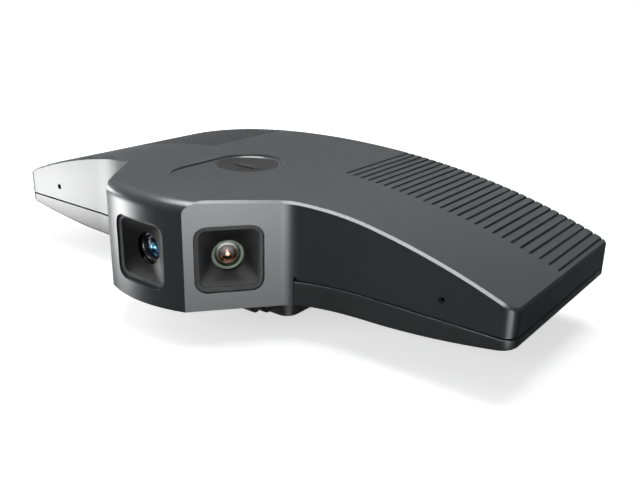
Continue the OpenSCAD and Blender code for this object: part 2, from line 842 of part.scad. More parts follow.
module board_screws() {
    color([0.7, 0.7, 0.72]) both_sides() for (y = board_screw_ys)
        translate([board_screw_x, y, board_top])
            screw(screw_core, screw_head_d, screw_head_h, board_t + screw_bite);
}

module shield_can() {
    color([0.72, 0.73, 0.74]) span([-can_w / 2, can_y - can_d / 2, board_top],
        [can_w / 2, can_y + can_d / 2, board_top + can_h]);
}

module thermal_pad() {
    half = [can_w / 2 - 3 * pad_t, can_d / 2 - 3 * pad_t];
    color([0.55, 0.65, 0.75]) span([-half[0], can_y - half[1], board_top + can_h],
        [half[0], can_y + half[1], spreader_z]);
}

module heat_spreader() {
    leg_y = spreader_d / 2 - spreader_leg_d;
    color([0.75, 0.76, 0.78]) union() {
        span([-spreader_w / 2, can_y - spreader_d / 2, spreader_z],
             [spreader_w / 2, can_y + spreader_d / 2, spreader_z + spreader_t]);
        both_sides() for (sy = [-1, 1])
            translate([spreader_w / 2 - spreader_leg_d, can_y + sy * leg_y, board_top])
                cylinder(d = spreader_leg_d, h = spreader_z - board_top + spreader_t / 2);
    }
}

module usb_socket() {
    blade_w = 6.6;
    blade_in = 1;
    floor_t = 2;
    middle = board_top + usb_h / 2;
    color([0.75, 0.75, 0.77]) union() {
        translate([0, back_y, middle]) rotate([90, 0, 0]) linear_extrude(usb_len) difference() {
            round_square(usb_w, usb_h, usb_h / 2 - slack);
            round_square(usb_w - 2 * usb_wall, usb_h - 2 * usb_wall, usb_h / 2 - usb_wall - slack);
        }
        translate([0, back_y - usb_len + floor_t, middle]) rotate([90, 0, 0]) linear_extrude(floor_t)
            round_square(usb_w - usb_wall, usb_h - usb_wall, usb_h / 2 - usb_wall);
        span([-blade_w / 2, back_y - usb_len + floor_t / 2, middle - usb_wall],
             [blade_w / 2, back_y - blade_in, middle + usb_wall]);
    }
}

module mic_boot(side) {
    color([0.05, 0.05, 0.05]) translate([side * mic_x, mic_y, mic_z]) difference() {
        translate([-boot_w / 2, 0, -boot_w / 2]) cube([boot_w, boot_t, boot_w]);
        rod_y([0, -cut, 0], mic_hole_d, boot_t + 2 * cut);
    }
}

module mic_board(side) {
    chip = [4, 1, 3];
    color([0.05, 0.25, 0.15]) translate([side * mic_x, mic_y + boot_t, mic_z]) union() {
        translate([-mic_board_w / 2, 0, -mic_board_h / 2]) cube([mic_board_w, mic_board_t, mic_board_h]);
        translate([-chip[0] / 2, 0, -chip[2] / 2]) cube([chip[0], mic_board_t + chip[1], chip[2]]);
    }
}

// Cable from each microphone board to its plug on the main board
module mic_leads() {
    solder = [5, 2];
    turn = [8, 12, 3];
    bow = [30, 22];
    plug_run = 6;
    rest_z = board_top + connector_t / 2;
    plug_y = lead_plug_y + lead_plug[1] / 2;
    points = [[mic_x - solder[0], mic_y + boot_t + mic_board_t + lead_d / 2, mic_z - solder[1]],
              [mic_x - turn[0], wing_y + turn[1], rest_z + turn[2]],
              [mic_x - bow[0], board_front_y + bow[1], rest_z],
              [board_w / 2 + plug_run, plug_y, rest_z],
              [board_w / 2, plug_y, rest_z]];
    color([0.1, 0.1, 0.1]) both_sides() union() {
        for (i = [0:len(points) - 2]) let (d = points[i + 1] - points[i], l = norm(d))
            translate(points[i]) rotate([0, acos(d[2] / l), atan2(d[1], d[0])]) cylinder(d = lead_d, h = l);
        for (i = [1:len(points) - 2]) translate(points[i]) sphere(d = lead_d + 2 * slack);
    }
}

module cover_screws() {
    color([0.15, 0.15, 0.16]) both_sides() for (p = cover_spots)
        translate([p[0], p[1], floor_z(p[0]) + cover_floor]) mirror([0, 0, 1])
            screw(cover_screw_core, cover_head_d, cover_head_h,
                  joint_z + cover_screw_bite - floor_z(p[0]) - cover_floor);
}

module mount_plate() {
    ear_x = lip_w / 2 + knuckle_gap;
    color([0.10, 0.10, 0.11]) difference() {
        union() {
            span([-plate_w / 2, front_hinge_y + front_knuckle_r + air, -plate_t],
                 [plate_w / 2, plate_back_y, 0]);
            both_sides() rod_x([ear_x, front_hinge_y, front_hinge_z], 2 * front_knuckle_r, front_ear_w);
            both_sides() span([ear_x, front_hinge_y - front_knuckle_r, front_hinge_z],
                 [ear_x + front_ear_w, front_hinge_y + front_knuckle_r, 0]);
            both_sides() span([ear_x, front_hinge_y, -plate_t],
                 [ear_x + front_ear_w, front_hinge_y + front_knuckle_r + cut, 0]);
        }
        rod_x([-plate_w, front_hinge_y, front_hinge_z], hinge_pin_d + 2 * running, 2 * plate_w);
        both_sides() for (p = mount_screw_spots) translate([p[0], p[1], -plate_t - cut]) {
            cylinder(d = screw_hole, h = plate_t + 2 * cut);
            cylinder(d = screw_head_d + 2 * slack, h = cut + screw_head_h);
        }
    }
}

module mount_screws() {
    color([0.7, 0.7, 0.72]) both_sides() for (p = mount_screw_spots)
        translate([p[0], p[1], screw_head_h - plate_t]) mirror([0, 0, 1])
            screw(screw_core, screw_head_d, screw_head_h,
                  plate_t - screw_head_h + board_z - screw_tip_gap);
}

module front_hinge_pin() {
    color([0.7, 0.7, 0.72]) rod_x([-plate_w / 2 + knuckle_gap, front_hinge_y, front_hinge_z],
        hinge_pin_d, plate_w - 2 * knuckle_gap);
}

module clip_arm() {
    color([0.12, 0.12, 0.13]) difference() {
        union() {
            span([-arm_w / 2, front_hinge_y + front_knuckle_r + 2 * air, arm_top - arm_t],
                 [arm_w / 2, rear_hinge_y - rear_knuckle_r - cut, arm_top]);
            span([-lip_w / 2, front_hinge_y, arm_top - arm_t],
                 [lip_w / 2, front_hinge_y + front_knuckle_r + cut, arm_top]);
            rod_x([-lip_w / 2, front_hinge_y, front_hinge_z], 2 * front_knuckle_r, lip_w);
            span([-lip_w / 2, front_hinge_y - front_knuckle_r, leg_bottom + lip_reach],
                 [lip_w / 2, front_hinge_y + lip_t_arm - front_knuckle_r, front_hinge_z]);
            rod_x([-lip_w / 2, front_hinge_y + lip_t_arm / 2 - front_knuckle_r, leg_bottom + lip_reach],
                  lip_t_arm, lip_w);
            rod_x([-rear_inner_w / 2, rear_hinge_y, rear_hinge_z], 2 * rear_knuckle_r, rear_inner_w);
            span([-rear_inner_w / 2, rear_hinge_y - rear_knuckle_r - 2 * cut, arm_top - arm_t],
                 [rear_inner_w / 2, rear_hinge_y, arm_top]);
        }
        rod_x([-plate_w, front_hinge_y, front_hinge_z], hinge_pin_d + 2 * running, 2 * plate_w);
        rod_x([-plate_w, rear_hinge_y, rear_hinge_z], hinge_pin_d + 2 * running, 2 * plate_w);
    }
}

module rear_hinge_pin() {
    end_in = 1;
    color([0.7, 0.7, 0.72]) rod_x([-leg_w / 2 + end_in, rear_hinge_y, rear_hinge_z],
        hinge_pin_d, leg_w - 2 * end_in);
}

module clip_leg() {
    ear_x = rear_inner_w / 2 + knuckle_gap;
    slab_back_y = rear_hinge_y - rear_knuckle_r - air;
    color([0.12, 0.12, 0.13]) difference() {
        union() {
            translate([0, 0, leg_bottom]) linear_extrude(leg_t) union() {
                translate([-leg_w / 2, leg_front_y + leg_corner_r])
                    square([leg_w, slab_back_y - leg_front_y - leg_corner_r]);
                translate([-leg_w / 2 + leg_corner_r, leg_front_y])
                    square([leg_w - 2 * leg_corner_r, 2 * leg_corner_r]);
                for (sx = [-1, 1]) translate([sx * (leg_w / 2 - leg_corner_r), leg_front_y + leg_corner_r])
                    circle(leg_corner_r);
            }
            both_sides() rod_x([ear_x, rear_hinge_y, rear_hinge_z], 2 * rear_knuckle_r, leg_w / 2 - ear_x);
            both_sides() span([ear_x, slab_back_y - cut, leg_bottom],
                 [leg_w / 2, rear_hinge_y, rear_hinge_z]);
        }
        rod_x([-leg_w, rear_hinge_y, rear_hinge_z], hinge_pin_d + 2 * running, 2 * leg_w);
        translate([0, mid_y, leg_bottom - cut]) {
            cylinder(d = insert_d + 2 * running, h = leg_t + 2 * cut);
            cylinder(d = insert_flange_d + 2 * slack, h = cut + insert_flange_t);
        }
        both_sides() for (p = pad_spots)
            translate([p[0], p[1], leg_bottom - cut]) cylinder(d = pad_d + 2 * slack, h = cut + pad_sink);
    }
}

module tripod_insert() {
    color([0.75, 0.62, 0.35]) translate([0, mid_y, leg_bottom]) difference() {
        union() {
            cylinder(d = insert_d, h = leg_t);
            cylinder(d = insert_flange_d, h = insert_flange_t);
        }
        translate([0, 0, -cut]) cylinder(d = thread_d, h = thread_len + cut);
    }
}

module leg_pads() {
    color([0.05, 0.05, 0.05]) both_sides() for (p = pad_spots)
        translate([p[0], p[1], leg_bottom - pad_proud]) cylinder(d = pad_d, h = pad_proud + pad_sink);
}

// The origin lies under the middle of the casing, on the surface that the pads stand on
module in_frame() {
    translate([0, -mid_y, clip_h]) children();
}

in_frame() top_cover();
in_frame() bottom_cover();
in_frame() window_frame(-1);  // window_frame_left
in_frame() window_frame(0);  // window_frame_centre
in_frame() window_frame(1);  // window_frame_right
in_frame() lens_hood(-1);  // lens_hood_left
in_frame() lens_hood(0);  // lens_hood_centre
in_frame() lens_hood(1);  // lens_hood_right
in_frame() lens_ring(-1);  // lens_ring_left
in_frame() lens_ring(0);  // lens_ring_centre
in_frame() lens_ring(1);  // lens_ring_right
in_frame() front_glass(-1);  // front_glass_left
in_frame() front_glass(0);  // front_glass_centre
in_frame() front_glass(1);  // front_glass_right
in_frame() lens_barrel(-1);  // lens_barrel_left
in_frame() lens_barrel(0);  // lens_barrel_centre
in_frame() lens_barrel(1);  // lens_barrel_right
in_frame() lens_holder(-1);  // lens_holder_left
in_frame() lens_holder(0);  // lens_holder_centre
in_frame() lens_holder(1);  // lens_holder_right
in_frame() sensor_board(-1);  // sensor_board_left
in_frame() sensor_board(0);  // sensor_board_centre
in_frame() sensor_board(1);  // sensor_board_right
in_frame() camera_bracket();
in_frame() bracket_screws();
in_frame() camera_flexes();
in_frame() slider_guide();
in_frame() detent_spring();
in_frame() privacy_slider();
in_frame() slider_grip();
in_frame() shutter_curtain();
in_frame() main_board();
in_frame() board_screws();
in_frame() shield_can();
in_frame() thermal_pad();
in_frame() heat_spreader();
in_frame() usb_socket();
in_frame() mic_board(-1);  // mic_board_left
in_frame() mic_board(1);  // mic_board_right
in_frame() mic_boot(-1);  // mic_boot_left
in_frame() mic_boot(1);  // mic_boot_right
in_frame() mic_leads();
in_frame() cover_screws();
in_frame() mount_plate();
in_frame() mount_screws();
in_frame() front_hinge_pin();
in_frame() clip_arm();
in_frame() rear_hinge_pin();
in_frame() clip_leg();
in_frame() tripod_insert();
in_frame() leg_pads();
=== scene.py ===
import json
import math

import bmesh
import bpy
from mathutils import Matrix, Vector

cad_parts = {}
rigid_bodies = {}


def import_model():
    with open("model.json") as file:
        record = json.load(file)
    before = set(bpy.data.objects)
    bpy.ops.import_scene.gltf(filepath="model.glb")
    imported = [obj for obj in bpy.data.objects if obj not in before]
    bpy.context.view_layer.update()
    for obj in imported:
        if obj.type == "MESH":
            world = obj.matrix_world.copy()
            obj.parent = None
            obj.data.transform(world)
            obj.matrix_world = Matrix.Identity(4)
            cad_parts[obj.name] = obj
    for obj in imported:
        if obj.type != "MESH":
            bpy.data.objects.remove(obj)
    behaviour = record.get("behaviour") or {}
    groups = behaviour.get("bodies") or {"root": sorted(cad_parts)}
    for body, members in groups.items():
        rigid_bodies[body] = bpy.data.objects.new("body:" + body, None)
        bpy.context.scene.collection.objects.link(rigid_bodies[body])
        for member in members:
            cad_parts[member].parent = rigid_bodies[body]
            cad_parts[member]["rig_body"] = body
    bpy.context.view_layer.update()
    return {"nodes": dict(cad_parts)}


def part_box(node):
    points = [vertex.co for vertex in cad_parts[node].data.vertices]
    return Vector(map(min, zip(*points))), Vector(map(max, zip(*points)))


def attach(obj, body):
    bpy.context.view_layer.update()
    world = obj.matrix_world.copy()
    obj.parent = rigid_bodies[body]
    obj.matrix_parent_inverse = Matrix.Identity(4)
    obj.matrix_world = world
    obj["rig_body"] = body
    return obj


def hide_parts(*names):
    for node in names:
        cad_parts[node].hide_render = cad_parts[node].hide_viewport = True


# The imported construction. Its box is kept, because the finished object has to stay inside it.
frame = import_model()
MM = 0.001


# Camera, at the photograph's angle and distance, found by fitting it to points of the casing.
# It looks at the prow from the object's front left, from a little above.
VIEW_AZIMUTH = 37.0568
VIEW_ELEVATION = 19.5941
VIEW_ROLL = math.radians(1.1968)
VIEW_PLACE = Vector((199.87, -219.37, 125.81)) * MM
VIEW_LENS = 42.777
VIEW_NEAR = 10 * MM


def towards(azimuth, elevation):
    """Direction from the object: azimuth 0 is its front, and it grows towards its left"""
    a, e = math.radians(azimuth), math.radians(elevation)
    return Vector((math.sin(a) * math.cos(e), -math.cos(a) * math.cos(e), math.sin(e)))


def add_camera():
    back = towards(VIEW_AZIMUTH, VIEW_ELEVATION)
    turn_left = math.radians(VIEW_AZIMUTH)
    level = Vector((math.cos(turn_left), math.sin(turn_left), 0))
    upright = back.cross(level)
    across = level * math.cos(VIEW_ROLL) + upright * math.sin(VIEW_ROLL)
    camera = bpy.data.objects.new("camera", bpy.data.cameras.new("camera"))
    camera.data.lens = VIEW_LENS
    camera.data.clip_start = VIEW_NEAR
    turn = Matrix((across, back.cross(across), back)).transposed()
    camera.matrix_world = Matrix.Translation(VIEW_PLACE) @ turn.to_4x4()
    bpy.context.collection.objects.link(camera)
    bpy.context.scene.camera = camera


add_camera()
bpy.context.scene.view_settings.view_transform = "Standard"


# Shader maths. A Socket adds its Math nodes when Python's operators meet it, and Shader makes
# every other node from its type, its settings and the values or links of its sockets.
class Socket:
    def __init__(self, shader, link):
        self.shader = shader
        self.link = link

    def math(self, operation, *others):
        made = self.shader.node("ShaderNodeMath", {"operation": operation}, (self, *others))
        return made["Value"]

    def __add__(self, other):
        return self.math("ADD", other)

    def __sub__(self, other):
        return self.math("SUBTRACT", other)

    def __mul__(self, other):
        return self.math("MULTIPLY", other)

    def __truediv__(self, other):
        return self.math("DIVIDE", other)

    def __rsub__(self, other):
        return self.shader.number(other).math("SUBTRACT", self)

    __radd__ = __add__
    __rmul__ = __mul__


class Shader:
    def __init__(self, name):
        self.material = bpy.data.materials.new(name)
        self.material.use_nodes = True
        self.tree = self.material.node_tree
        self.tree.nodes.clear()
        self.output = self.tree.nodes.new("ShaderNodeOutputMaterial")

    def node(self, kind, settings=None, values=()):
        made = self.tree.nodes.new(kind)
        for key, value in (settings or {}).items():
            setattr(made, key, value)
        pairs = values.items() if isinstance(values, dict) else enumerate(values)
        for key, value in pairs:
            if isinstance(value, Socket):
                self.tree.links.new(value.link, made.inputs[key])
            else:
                made.inputs[key].default_value = value
        return {out.name: Socket(self, out) for out in made.outputs if out.enabled}

    def number(self, value):
        return self.node("ShaderNodeMath", {"operation": "ADD"}, (value, 0.0))["Value"]

    def place(self):
        return self.node("ShaderNodeTexCoord")["Object"]

    def vector(self, operation, *values):
        made = self.node("ShaderNodeVectorMath", {"operation": operation}, values)
        return made["Value" if operation in ("LENGTH", "DOT_PRODUCT") else "Vector"]

    def ramp(self, value, start, end, kind="LINEAR"):
        """Rises from 0 to 1 as the value goes from start to end"""
        return self.node("ShaderNodeMapRange", {"interpolation_type": kind},
                         {"Value": value, "From Min": start, "From Max": end})["Result"]

    def glow(self, colour, strength):
        return self.node("ShaderNodeEmission", None,
                         {"Color": colour, "Strength": strength})["Emission"]

    def noise(self, size, detail=2.0, stretch=(1, 1, 1)):
        """Noise from 0 to 1, whose grains are about that many metres across"""
        spot = self.node("ShaderNodeMapping", None,
                         {"Vector": self.place(), "Scale": stretch})["Vector"]
        return self.node("ShaderNodeTexNoise", None,
                         {"Vector": spot, "Scale": 1 / size, "Detail": detail})["Fac"]

    def blend(self, share, low, high):
        """A colour between two others, by a share from 0 to 1"""
        made = self.node("ShaderNodeMix", {"data_type": "RGBA"}, {0: share, 6: low, 7: high})
        return made["Result"]

    def bump(self, height, depth, strength=1.0):
        return self.node("ShaderNodeBump", None,
                         {"Height": height, "Distance": depth, "Strength": strength})["Normal"]

    def surface(self, **values):
        named = {key.replace("_", " "): value for key, value in values.items()}
        made = self.node("ShaderNodeBsdfPrincipled", None, named)
        self.tree.links.new(made["BSDF"].link, self.output.inputs["Surface"])
        return self.material


def grey(level, warmth=0.0):
    return (level * (1 + warmth), level, level * (1 - warmth), 1)


# Studio. A pale floor that keeps the object's shadow, a white background and soft lamps. Glowing
# boards and a dark cloth round the object only show as reflections in its satin plastic.
FLOOR_SIZE = 8.0
FLOOR_COLOUR = grey(0.82)
STUDIO_MIDDLE = Vector((0, -0.02, 0.03))
FLOOR_GLOW = 0.62
FLOOR_GLOW_NEAR = 0.3
FLOOR_GLOW_FAR = 1.0
WORLD_FILL = 0.16
LAMP_DISTANCE = 1.2
BOWL_R = 4
BOWL_RIM = math.radians(22)
BOWL_GLOW = 0.03


def studio_world():
    world = bpy.data.worlds.new("studio")
    world.use_nodes = True
    bpy.context.scene.world = world
    nodes, links = world.node_tree.nodes, world.node_tree.links
    nodes.clear()
    output = nodes.new("ShaderNodeOutputWorld")
    seen, lit = nodes.new("ShaderNodeBackground"), nodes.new("ShaderNodeBackground")
    seen.inputs["Color"].default_value = grey(1.0)
    lit.inputs["Color"].default_value = grey(WORLD_FILL)
    path, mix = nodes.new("ShaderNodeLightPath"), nodes.new("ShaderNodeMixShader")
    share = path.outputs["Is Camera Ray"]
    for ray in ("Is Glossy Ray", "Is Transmission Ray"):
        most = nodes.new("ShaderNodeMath")
        most.operation = "MAXIMUM"
        links.new(share, most.inputs[0])
        links.new(path.outputs[ray], most.inputs[1])
        share = most.outputs[0]
    links.new(share, mix.inputs[0])
    links.new(lit.outputs[0], mix.inputs[1])
    links.new(seen.outputs[0], mix.inputs[2])
    links.new(mix.outputs[0], output.inputs["Surface"])


def as_object(bm, name):
    mesh = bpy.data.meshes.new(name)
    bm.to_mesh(mesh)
    bm.free()
    made = bpy.data.objects.new(name, mesh)
    bpy.context.collection.objects.link(made)
    return made


def studio_floor():
    bm = bmesh.new()
    bmesh.ops.create_grid(bm, x_segments=4, y_segments=4, size=FLOOR_SIZE / 2)
    floor = as_object(bm, "floor")
    floor.visible_glossy = False
    floor.visible_diffuse = False
    paint = Shader("floor_paint")
    matt = paint.node("ShaderNodeBsdfDiffuse", None, {"Color": FLOOR_COLOUR})["BSDF"]
    far = paint.ramp(paint.vector("LENGTH", paint.place()), FLOOR_GLOW_NEAR, FLOOR_GLOW_FAR)
    glow = paint.glow(paint.blend(far, grey(FLOOR_GLOW), grey(1.0)), 1.0)
    seen = paint.node("ShaderNodeLightPath")["Is Camera Ray"]
    both = paint.node("ShaderNodeAddShader", None, (matt, glow))["Shader"]
    mixed = paint.node("ShaderNodeMixShader", None, (seen, matt, both))["Shader"]
    paint.tree.links.new(mixed.link, paint.output.inputs["Surface"])
    floor.data.materials.append(paint.material)


def facing(place):
    return (place - STUDIO_MIDDLE).to_track_quat("Z", "Y").to_matrix().to_4x4()


def soft_lamp(name, direction, size, watts):
    lamp = bpy.data.lights.new(name, "AREA")
    lamp.size = size
    lamp.energy = watts
    holder = bpy.data.objects.new(name, lamp)
    place = STUDIO_MIDDLE + LAMP_DISTANCE * towards(*direction)
    holder.matrix_world = Matrix.Translation(place) @ facing(place)
    holder.visible_glossy = False
    bpy.context.collection.objects.link(holder)


def only_reflected(card):
    for ray in ("camera", "diffuse", "shadow", "transmission", "volume_scatter"):
        setattr(card, "visible_" + ray, False)


def bright_board(name, direction, size, glow, soft, distance=LAMP_DISTANCE):
    """A glowing board that only shows in reflections, and fades over a share of its width"""
    place = STUDIO_MIDDLE + distance * towards(*direction)
    turn = facing(place)
    bm = bmesh.new()
    shape = Matrix.Diagonal((size[0] / 2, size[1] / 2, 1, 1))
    bmesh.ops.create_grid(bm, x_segments=1, y_segments=1, size=1,
                          matrix=Matrix.Translation(place) @ turn @ shape)
    board = as_object(bm, name)
    paint = Shader(name)
    spot = paint.vector("SUBTRACT", paint.place(), place)
    share = 1.0
    for side, axis in enumerate((turn.col[0], turn.col[1])):
        off = paint.vector("DOT_PRODUCT", spot, axis.xyz).math("ABSOLUTE") / (size[side] / 2)
        share = ((1 - off) / soft).math("MINIMUM", 1.0) * share
    light = paint.glow(paint.blend(share, grey(0), grey(1)), glow)
    paint.tree.links.new(light.link, paint.output.inputs["Surface"])
    paint.material.cycles.emission_sampling = "NONE"
    board.data.materials.append(paint.material)
    only_reflected(board)


def dark_bowl():
    """Dark cloth below and round the object, which keeps its upright walls' reflections dark"""
    bm = bmesh.new()
    bmesh.ops.create_uvsphere(bm, u_segments=48, v_segments=48, radius=BOWL_R,
                              matrix=Matrix.Translation(STUDIO_MIDDLE))
    high = STUDIO_MIDDLE.z + BOWL_R * math.sin(BOWL_RIM)
    bmesh.ops.bisect_plane(bm, geom=bm.verts[:] + bm.edges[:] + bm.faces[:], dist=1e-5,
                           plane_co=(0, 0, high), plane_no=(0, 0, 1), clear_outer=True)
    bowl = as_object(bm, "dark_bowl")
    cloth = Shader("dark_bowl")
    cloth.tree.links.new(cloth.glow(grey(1.0), BOWL_GLOW).link, cloth.output.inputs["Surface"])
    cloth.material.cycles.emission_sampling = "NONE"
    bowl.data.materials.append(cloth.material)
    only_reflected(bowl)


studio_world()
studio_floor()
soft_lamp("top_lamp", (200, 75), 0.9, 11)
soft_lamp("left_lamp", (-75, 30), 0.7, 5)
soft_lamp("front_lamp", (-20, 10), 0.9, 9.5)
bright_board("left_card", (-61, -12), (0.28, 0.18), 45, 1.0, 0.44)
bright_board("edge_board", (-84, 5), (1.0, 0.2), 30, 0.8)
bright_board("far_left_board", (-100, -9), (0.8, 0.6), 1.2, 0.6)
bright_board("right_board", (54, -5), (1.2, 1.0), 54, 1.0)
bright_board("top_board", (5, 76), (1.4, 0.9), 42, 0.3)
dark_bowl()


# Casing, lower shell. Satin black plastic with a rounded lower edge that lifts towards the tips.
# It is let into the upper shell beside the prow. The construction has a tongue behind the parting
# gap, which the shell built here comes out without.
CASING_LOW, CASING_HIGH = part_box("top_cover")
HALF_W = CASING_HIGH.x / MM
BACK_Y = CASING_HIGH.y / MM
FRONT_Y = CASING_LOW.y / MM
CASING_BASE = CASING_LOW.z / MM
CASING_H = CASING_HIGH.z / MM - CASING_BASE
PROW_HALF_W = 19.4
PROW_BULGE = 3.55
FACE_TURN = math.radians(50.4)
FACE_LEN = 33.1
SWEEP_R = 12.65
SHOULDER_TURN = math.radians(20.1)
SHOULDER_R = 73.7
TIP_R = 4.8
BACK_R = 2.6
TIP_H = 19
TIP_RISE = 5.8
RISE_LEN = 60
PARTING_Z = 9.7
WALL = 2
ARCH_QUARTIC_SHARE = 0.205
ARCH_REACH = 1.1
PROW_Y = FRONT_Y + PROW_BULGE
WINDOW_Z = 18.6
SEAM_X = 44.1
FACE_STEPS = 14
TIP_STEPS = 10
BACK_STEPS = 8
ROUND_STEPS = 12
MERGE_MM = 1e-4
MERGE_M = 0.5e-6
LAST_SLICE = 0.5

ALONG = Vector((math.cos(FACE_TURN), math.sin(FACE_TURN)))
INWARD = Vector((-math.sin(FACE_TURN), math.cos(FACE_TURN)))
PROW_R = (PROW_HALF_W ** 2 + PROW_BULGE ** 2) / (2 * PROW_BULGE)
PROW_CENTRE = Vector((0, PROW_Y + PROW_R - PROW_BULGE))
PROW_EDGE = Vector((PROW_HALF_W, PROW_Y))
SWEEP_CENTRE = PROW_EDGE + FACE_LEN * ALONG - SWEEP_R * INWARD
SHOULDER_CENTRE = SWEEP_CENTRE + (SWEEP_R - SHOULDER_R) * Vector(
    (-math.sin(SHOULDER_TURN), math.cos(SHOULDER_TURN)))
WING_Y = SHOULDER_CENTRE.y + SHOULDER_R


def arch_height(x):
    share = min(abs(x) / HALF_W, ARCH_REACH) ** 2
    drop = (1 - ARCH_QUARTIC_SHARE) * share + ARCH_QUARTIC_SHARE * share ** 2
    return CASING_H - (CASING_H - TIP_H) * drop


def floor_height(x):
    return TIP_RISE * (max(abs(x) - HALF_W + RISE_LEN, 0) / RISE_LEN) ** 2


def arc(centre, radius, start, end, steps, end_radius=None):
    """Points of an arc, whose radius may change steadily from one end to the other"""
    last = radius if end_radius is None else end_radius
    points = []
    for i in range(steps + 1):
        turn = start + (end - start) * i / steps
        reach = radius + (last - radius) * i / steps
        points.append(centre + reach * Vector((math.cos(turn), math.sin(turn))))
    return points


def casing_ring(nose, side, rear, z):
    """Outline of the casing, set in by one distance on the prow's middle face, another along the
    side faces and wings, and a third round the tips and the back"""
    start = PROW_EDGE + side * INWARD - PROW_CENTRE
    reach = start.dot(ALONG)
    back_off = reach + math.sqrt(reach ** 2 - start.length_squared + (PROW_R - nose) ** 2)
    corner = start - back_off * ALONG
    quarter = math.pi / 2
    front = Vector((HALF_W - TIP_R, WING_Y + TIP_R))
    back = Vector((HALF_W - BACK_R, BACK_Y - BACK_R))
    half = arc(PROW_CENTRE, PROW_R - nose, -quarter, math.atan2(corner.y, corner.x), FACE_STEPS)
    half += arc(SWEEP_CENTRE, SWEEP_R + side, quarter + FACE_TURN, quarter + SHOULDER_TURN,
                FACE_STEPS)
    half += arc(SHOULDER_CENTRE, SHOULDER_R + side, quarter + SHOULDER_TURN, quarter,
                FACE_STEPS)[1:]
    half += arc(front, TIP_R - side, -quarter, 0, TIP_STEPS, TIP_R - rear)
    half += arc(back, BACK_R - rear, 0, quarter, BACK_STEPS)
    other = [Vector((-p.x, p.y)) for p in reversed(half[1:])]
    return [Vector((p.x, p.y, z)) for p in half + other]


def loft(rings, capped=True):
    """A closed solid through rings of points, each extruded from the one before. Without its end
    faces, the last ring meets the first"""
    bm = bmesh.new()
    verts = [bm.verts.new(p) for p in rings[0]]
    edges = [bm.edges.new((verts[i - 1], verts[i])) for i in range(len(verts))]
    if capped:
        bm.faces.new(verts)
    for ring in rings[1:]:
        made = bmesh.ops.extrude_edge_only(bm, edges=edges)["geom"]
        fresh = {g for g in made if isinstance(g, bmesh.types.BMVert)}
        verts = [next(e.other_vert(v) for e in v.link_edges if e.other_vert(v) in fresh)
                 for v in verts]
        for vert, point in zip(verts, ring):
            vert.co = point
        edges = [g for g in made if isinstance(g, bmesh.types.BMEdge)
                 and all(v in fresh for v in g.verts)]
    if capped:
        bm.faces.new(verts)
    else:
        bmesh.ops.remove_doubles(bm, verts=bm.verts, dist=MERGE_MM)
    bmesh.ops.recalc_face_normals(bm, faces=bm.faces)
    return bm


def carve(body, cutter, operation="DIFFERENCE"):
    """Cuts one object with another, which is used up"""
    step = body.modifiers.new("cut", "BOOLEAN")
    step.operation = operation
    step.solver = "EXACT"
    step.object = cutter
    seen = body.evaluated_get(bpy.context.evaluated_depsgraph_get())
    old = body.data
    body.data = bpy.data.meshes.new_from_object(seen)
    body.modifiers.clear()
    bpy.data.meshes.remove(old)
    used = cutter.data
    bpy.data.objects.remove(cutter)
    bpy.data.meshes.remove(used)


def block(low, high):
    bm = bmesh.new()
    size = Vector(high) - Vector(low)
    place = Matrix.Translation((Vector(high) + Vector(low)) / 2)
    bmesh.ops.create_cube(bm, size=1, matrix=place @ Matrix.Diagonal(size).to_4x4())
    return bm


def to_frame(body):
    """From millimetres above the casing's underside to the frame's metres"""
    body.data.transform(Matrix.Scale(MM, 4) @ Matrix.Translation((0, 0, CASING_BASE)))


def crisp(body, degrees=26):
    """Smooth shading, with every edge sharper than the angle left crisp"""
    limit = math.radians(degrees)
    bm = bmesh.new()
    bm.from_mesh(body.data)
    bmesh.ops.remove_doubles(bm, verts=bm.verts, dist=MERGE_M)
    bmesh.ops.dissolve_degenerate(bm, edges=bm.edges, dist=MERGE_M)
    for face in bm.faces:
        face.smooth = True
    for edge in bm.edges:
        edge.smooth = len(edge.link_faces) == 2 and edge.calc_face_angle(math.pi) < limit
    bm.to_mesh(body.data)
    bm.free()


def prism(inset, low, high):
    return loft([casing_ring(inset, inset, inset, z) for z in (low, high)])


def rod(bm, start, end, radius, segments=24):
    """Adds a cylinder between two points"""
    start, end = Vector(start), Vector(end)
    turn = (end - start).to_track_quat("Z", "Y").to_matrix().to_4x4()
    bmesh.ops.create_cone(bm, cap_ends=True, segments=segments, radius1=radius, radius2=radius,
                          depth=(end - start).length,
                          matrix=Matrix.Translation((start + end) / 2) @ turn)


def slice_across(body, step, first=0.0):
    """Cuts a flat slab every few millimetres of its width, so that it can be bent"""
    bm = bmesh.new()
    bm.from_mesh(body.data)
    x = first
    while x < HALF_W - LAST_SLICE:
        for sign in (-1, 1):
            bmesh.ops.bisect_plane(bm, geom=bm.verts[:] + bm.edges[:] + bm.faces[:], dist=MERGE_MM,
                                   plane_co=(sign * x, 0, 0), plane_no=(1, 0, 0))
        x += step
    return bm


def square_ring(width, radius, depth, steps=8):
    """Square with round corners in a window's own axes, at a depth behind its outer face"""
    half = width / 2 - radius
    points = []
    for i, (x, z) in enumerate(((1, 1), (-1, 1), (-1, -1), (1, -1))):
        points += arc(Vector((x * half, z * half)), radius, i * math.pi / 2,
                      (i + 1) * math.pi / 2, steps)
    return [Vector((p.x, depth, p.y)) for p in points]


WINDOW_W = 24.2
WINDOW_R = 4.5
WINDOW_ALONG = 15.6
WINDOW_RECESS = 0.8
SIDE_SPOT = PROW_EDGE + WINDOW_ALONG * ALONG + WINDOW_RECESS * INWARD
CENTRE_SPOT_Y = PROW_CENTRE.y - math.sqrt(PROW_R ** 2 - (WINDOW_W / 2) ** 2) + WINDOW_RECESS


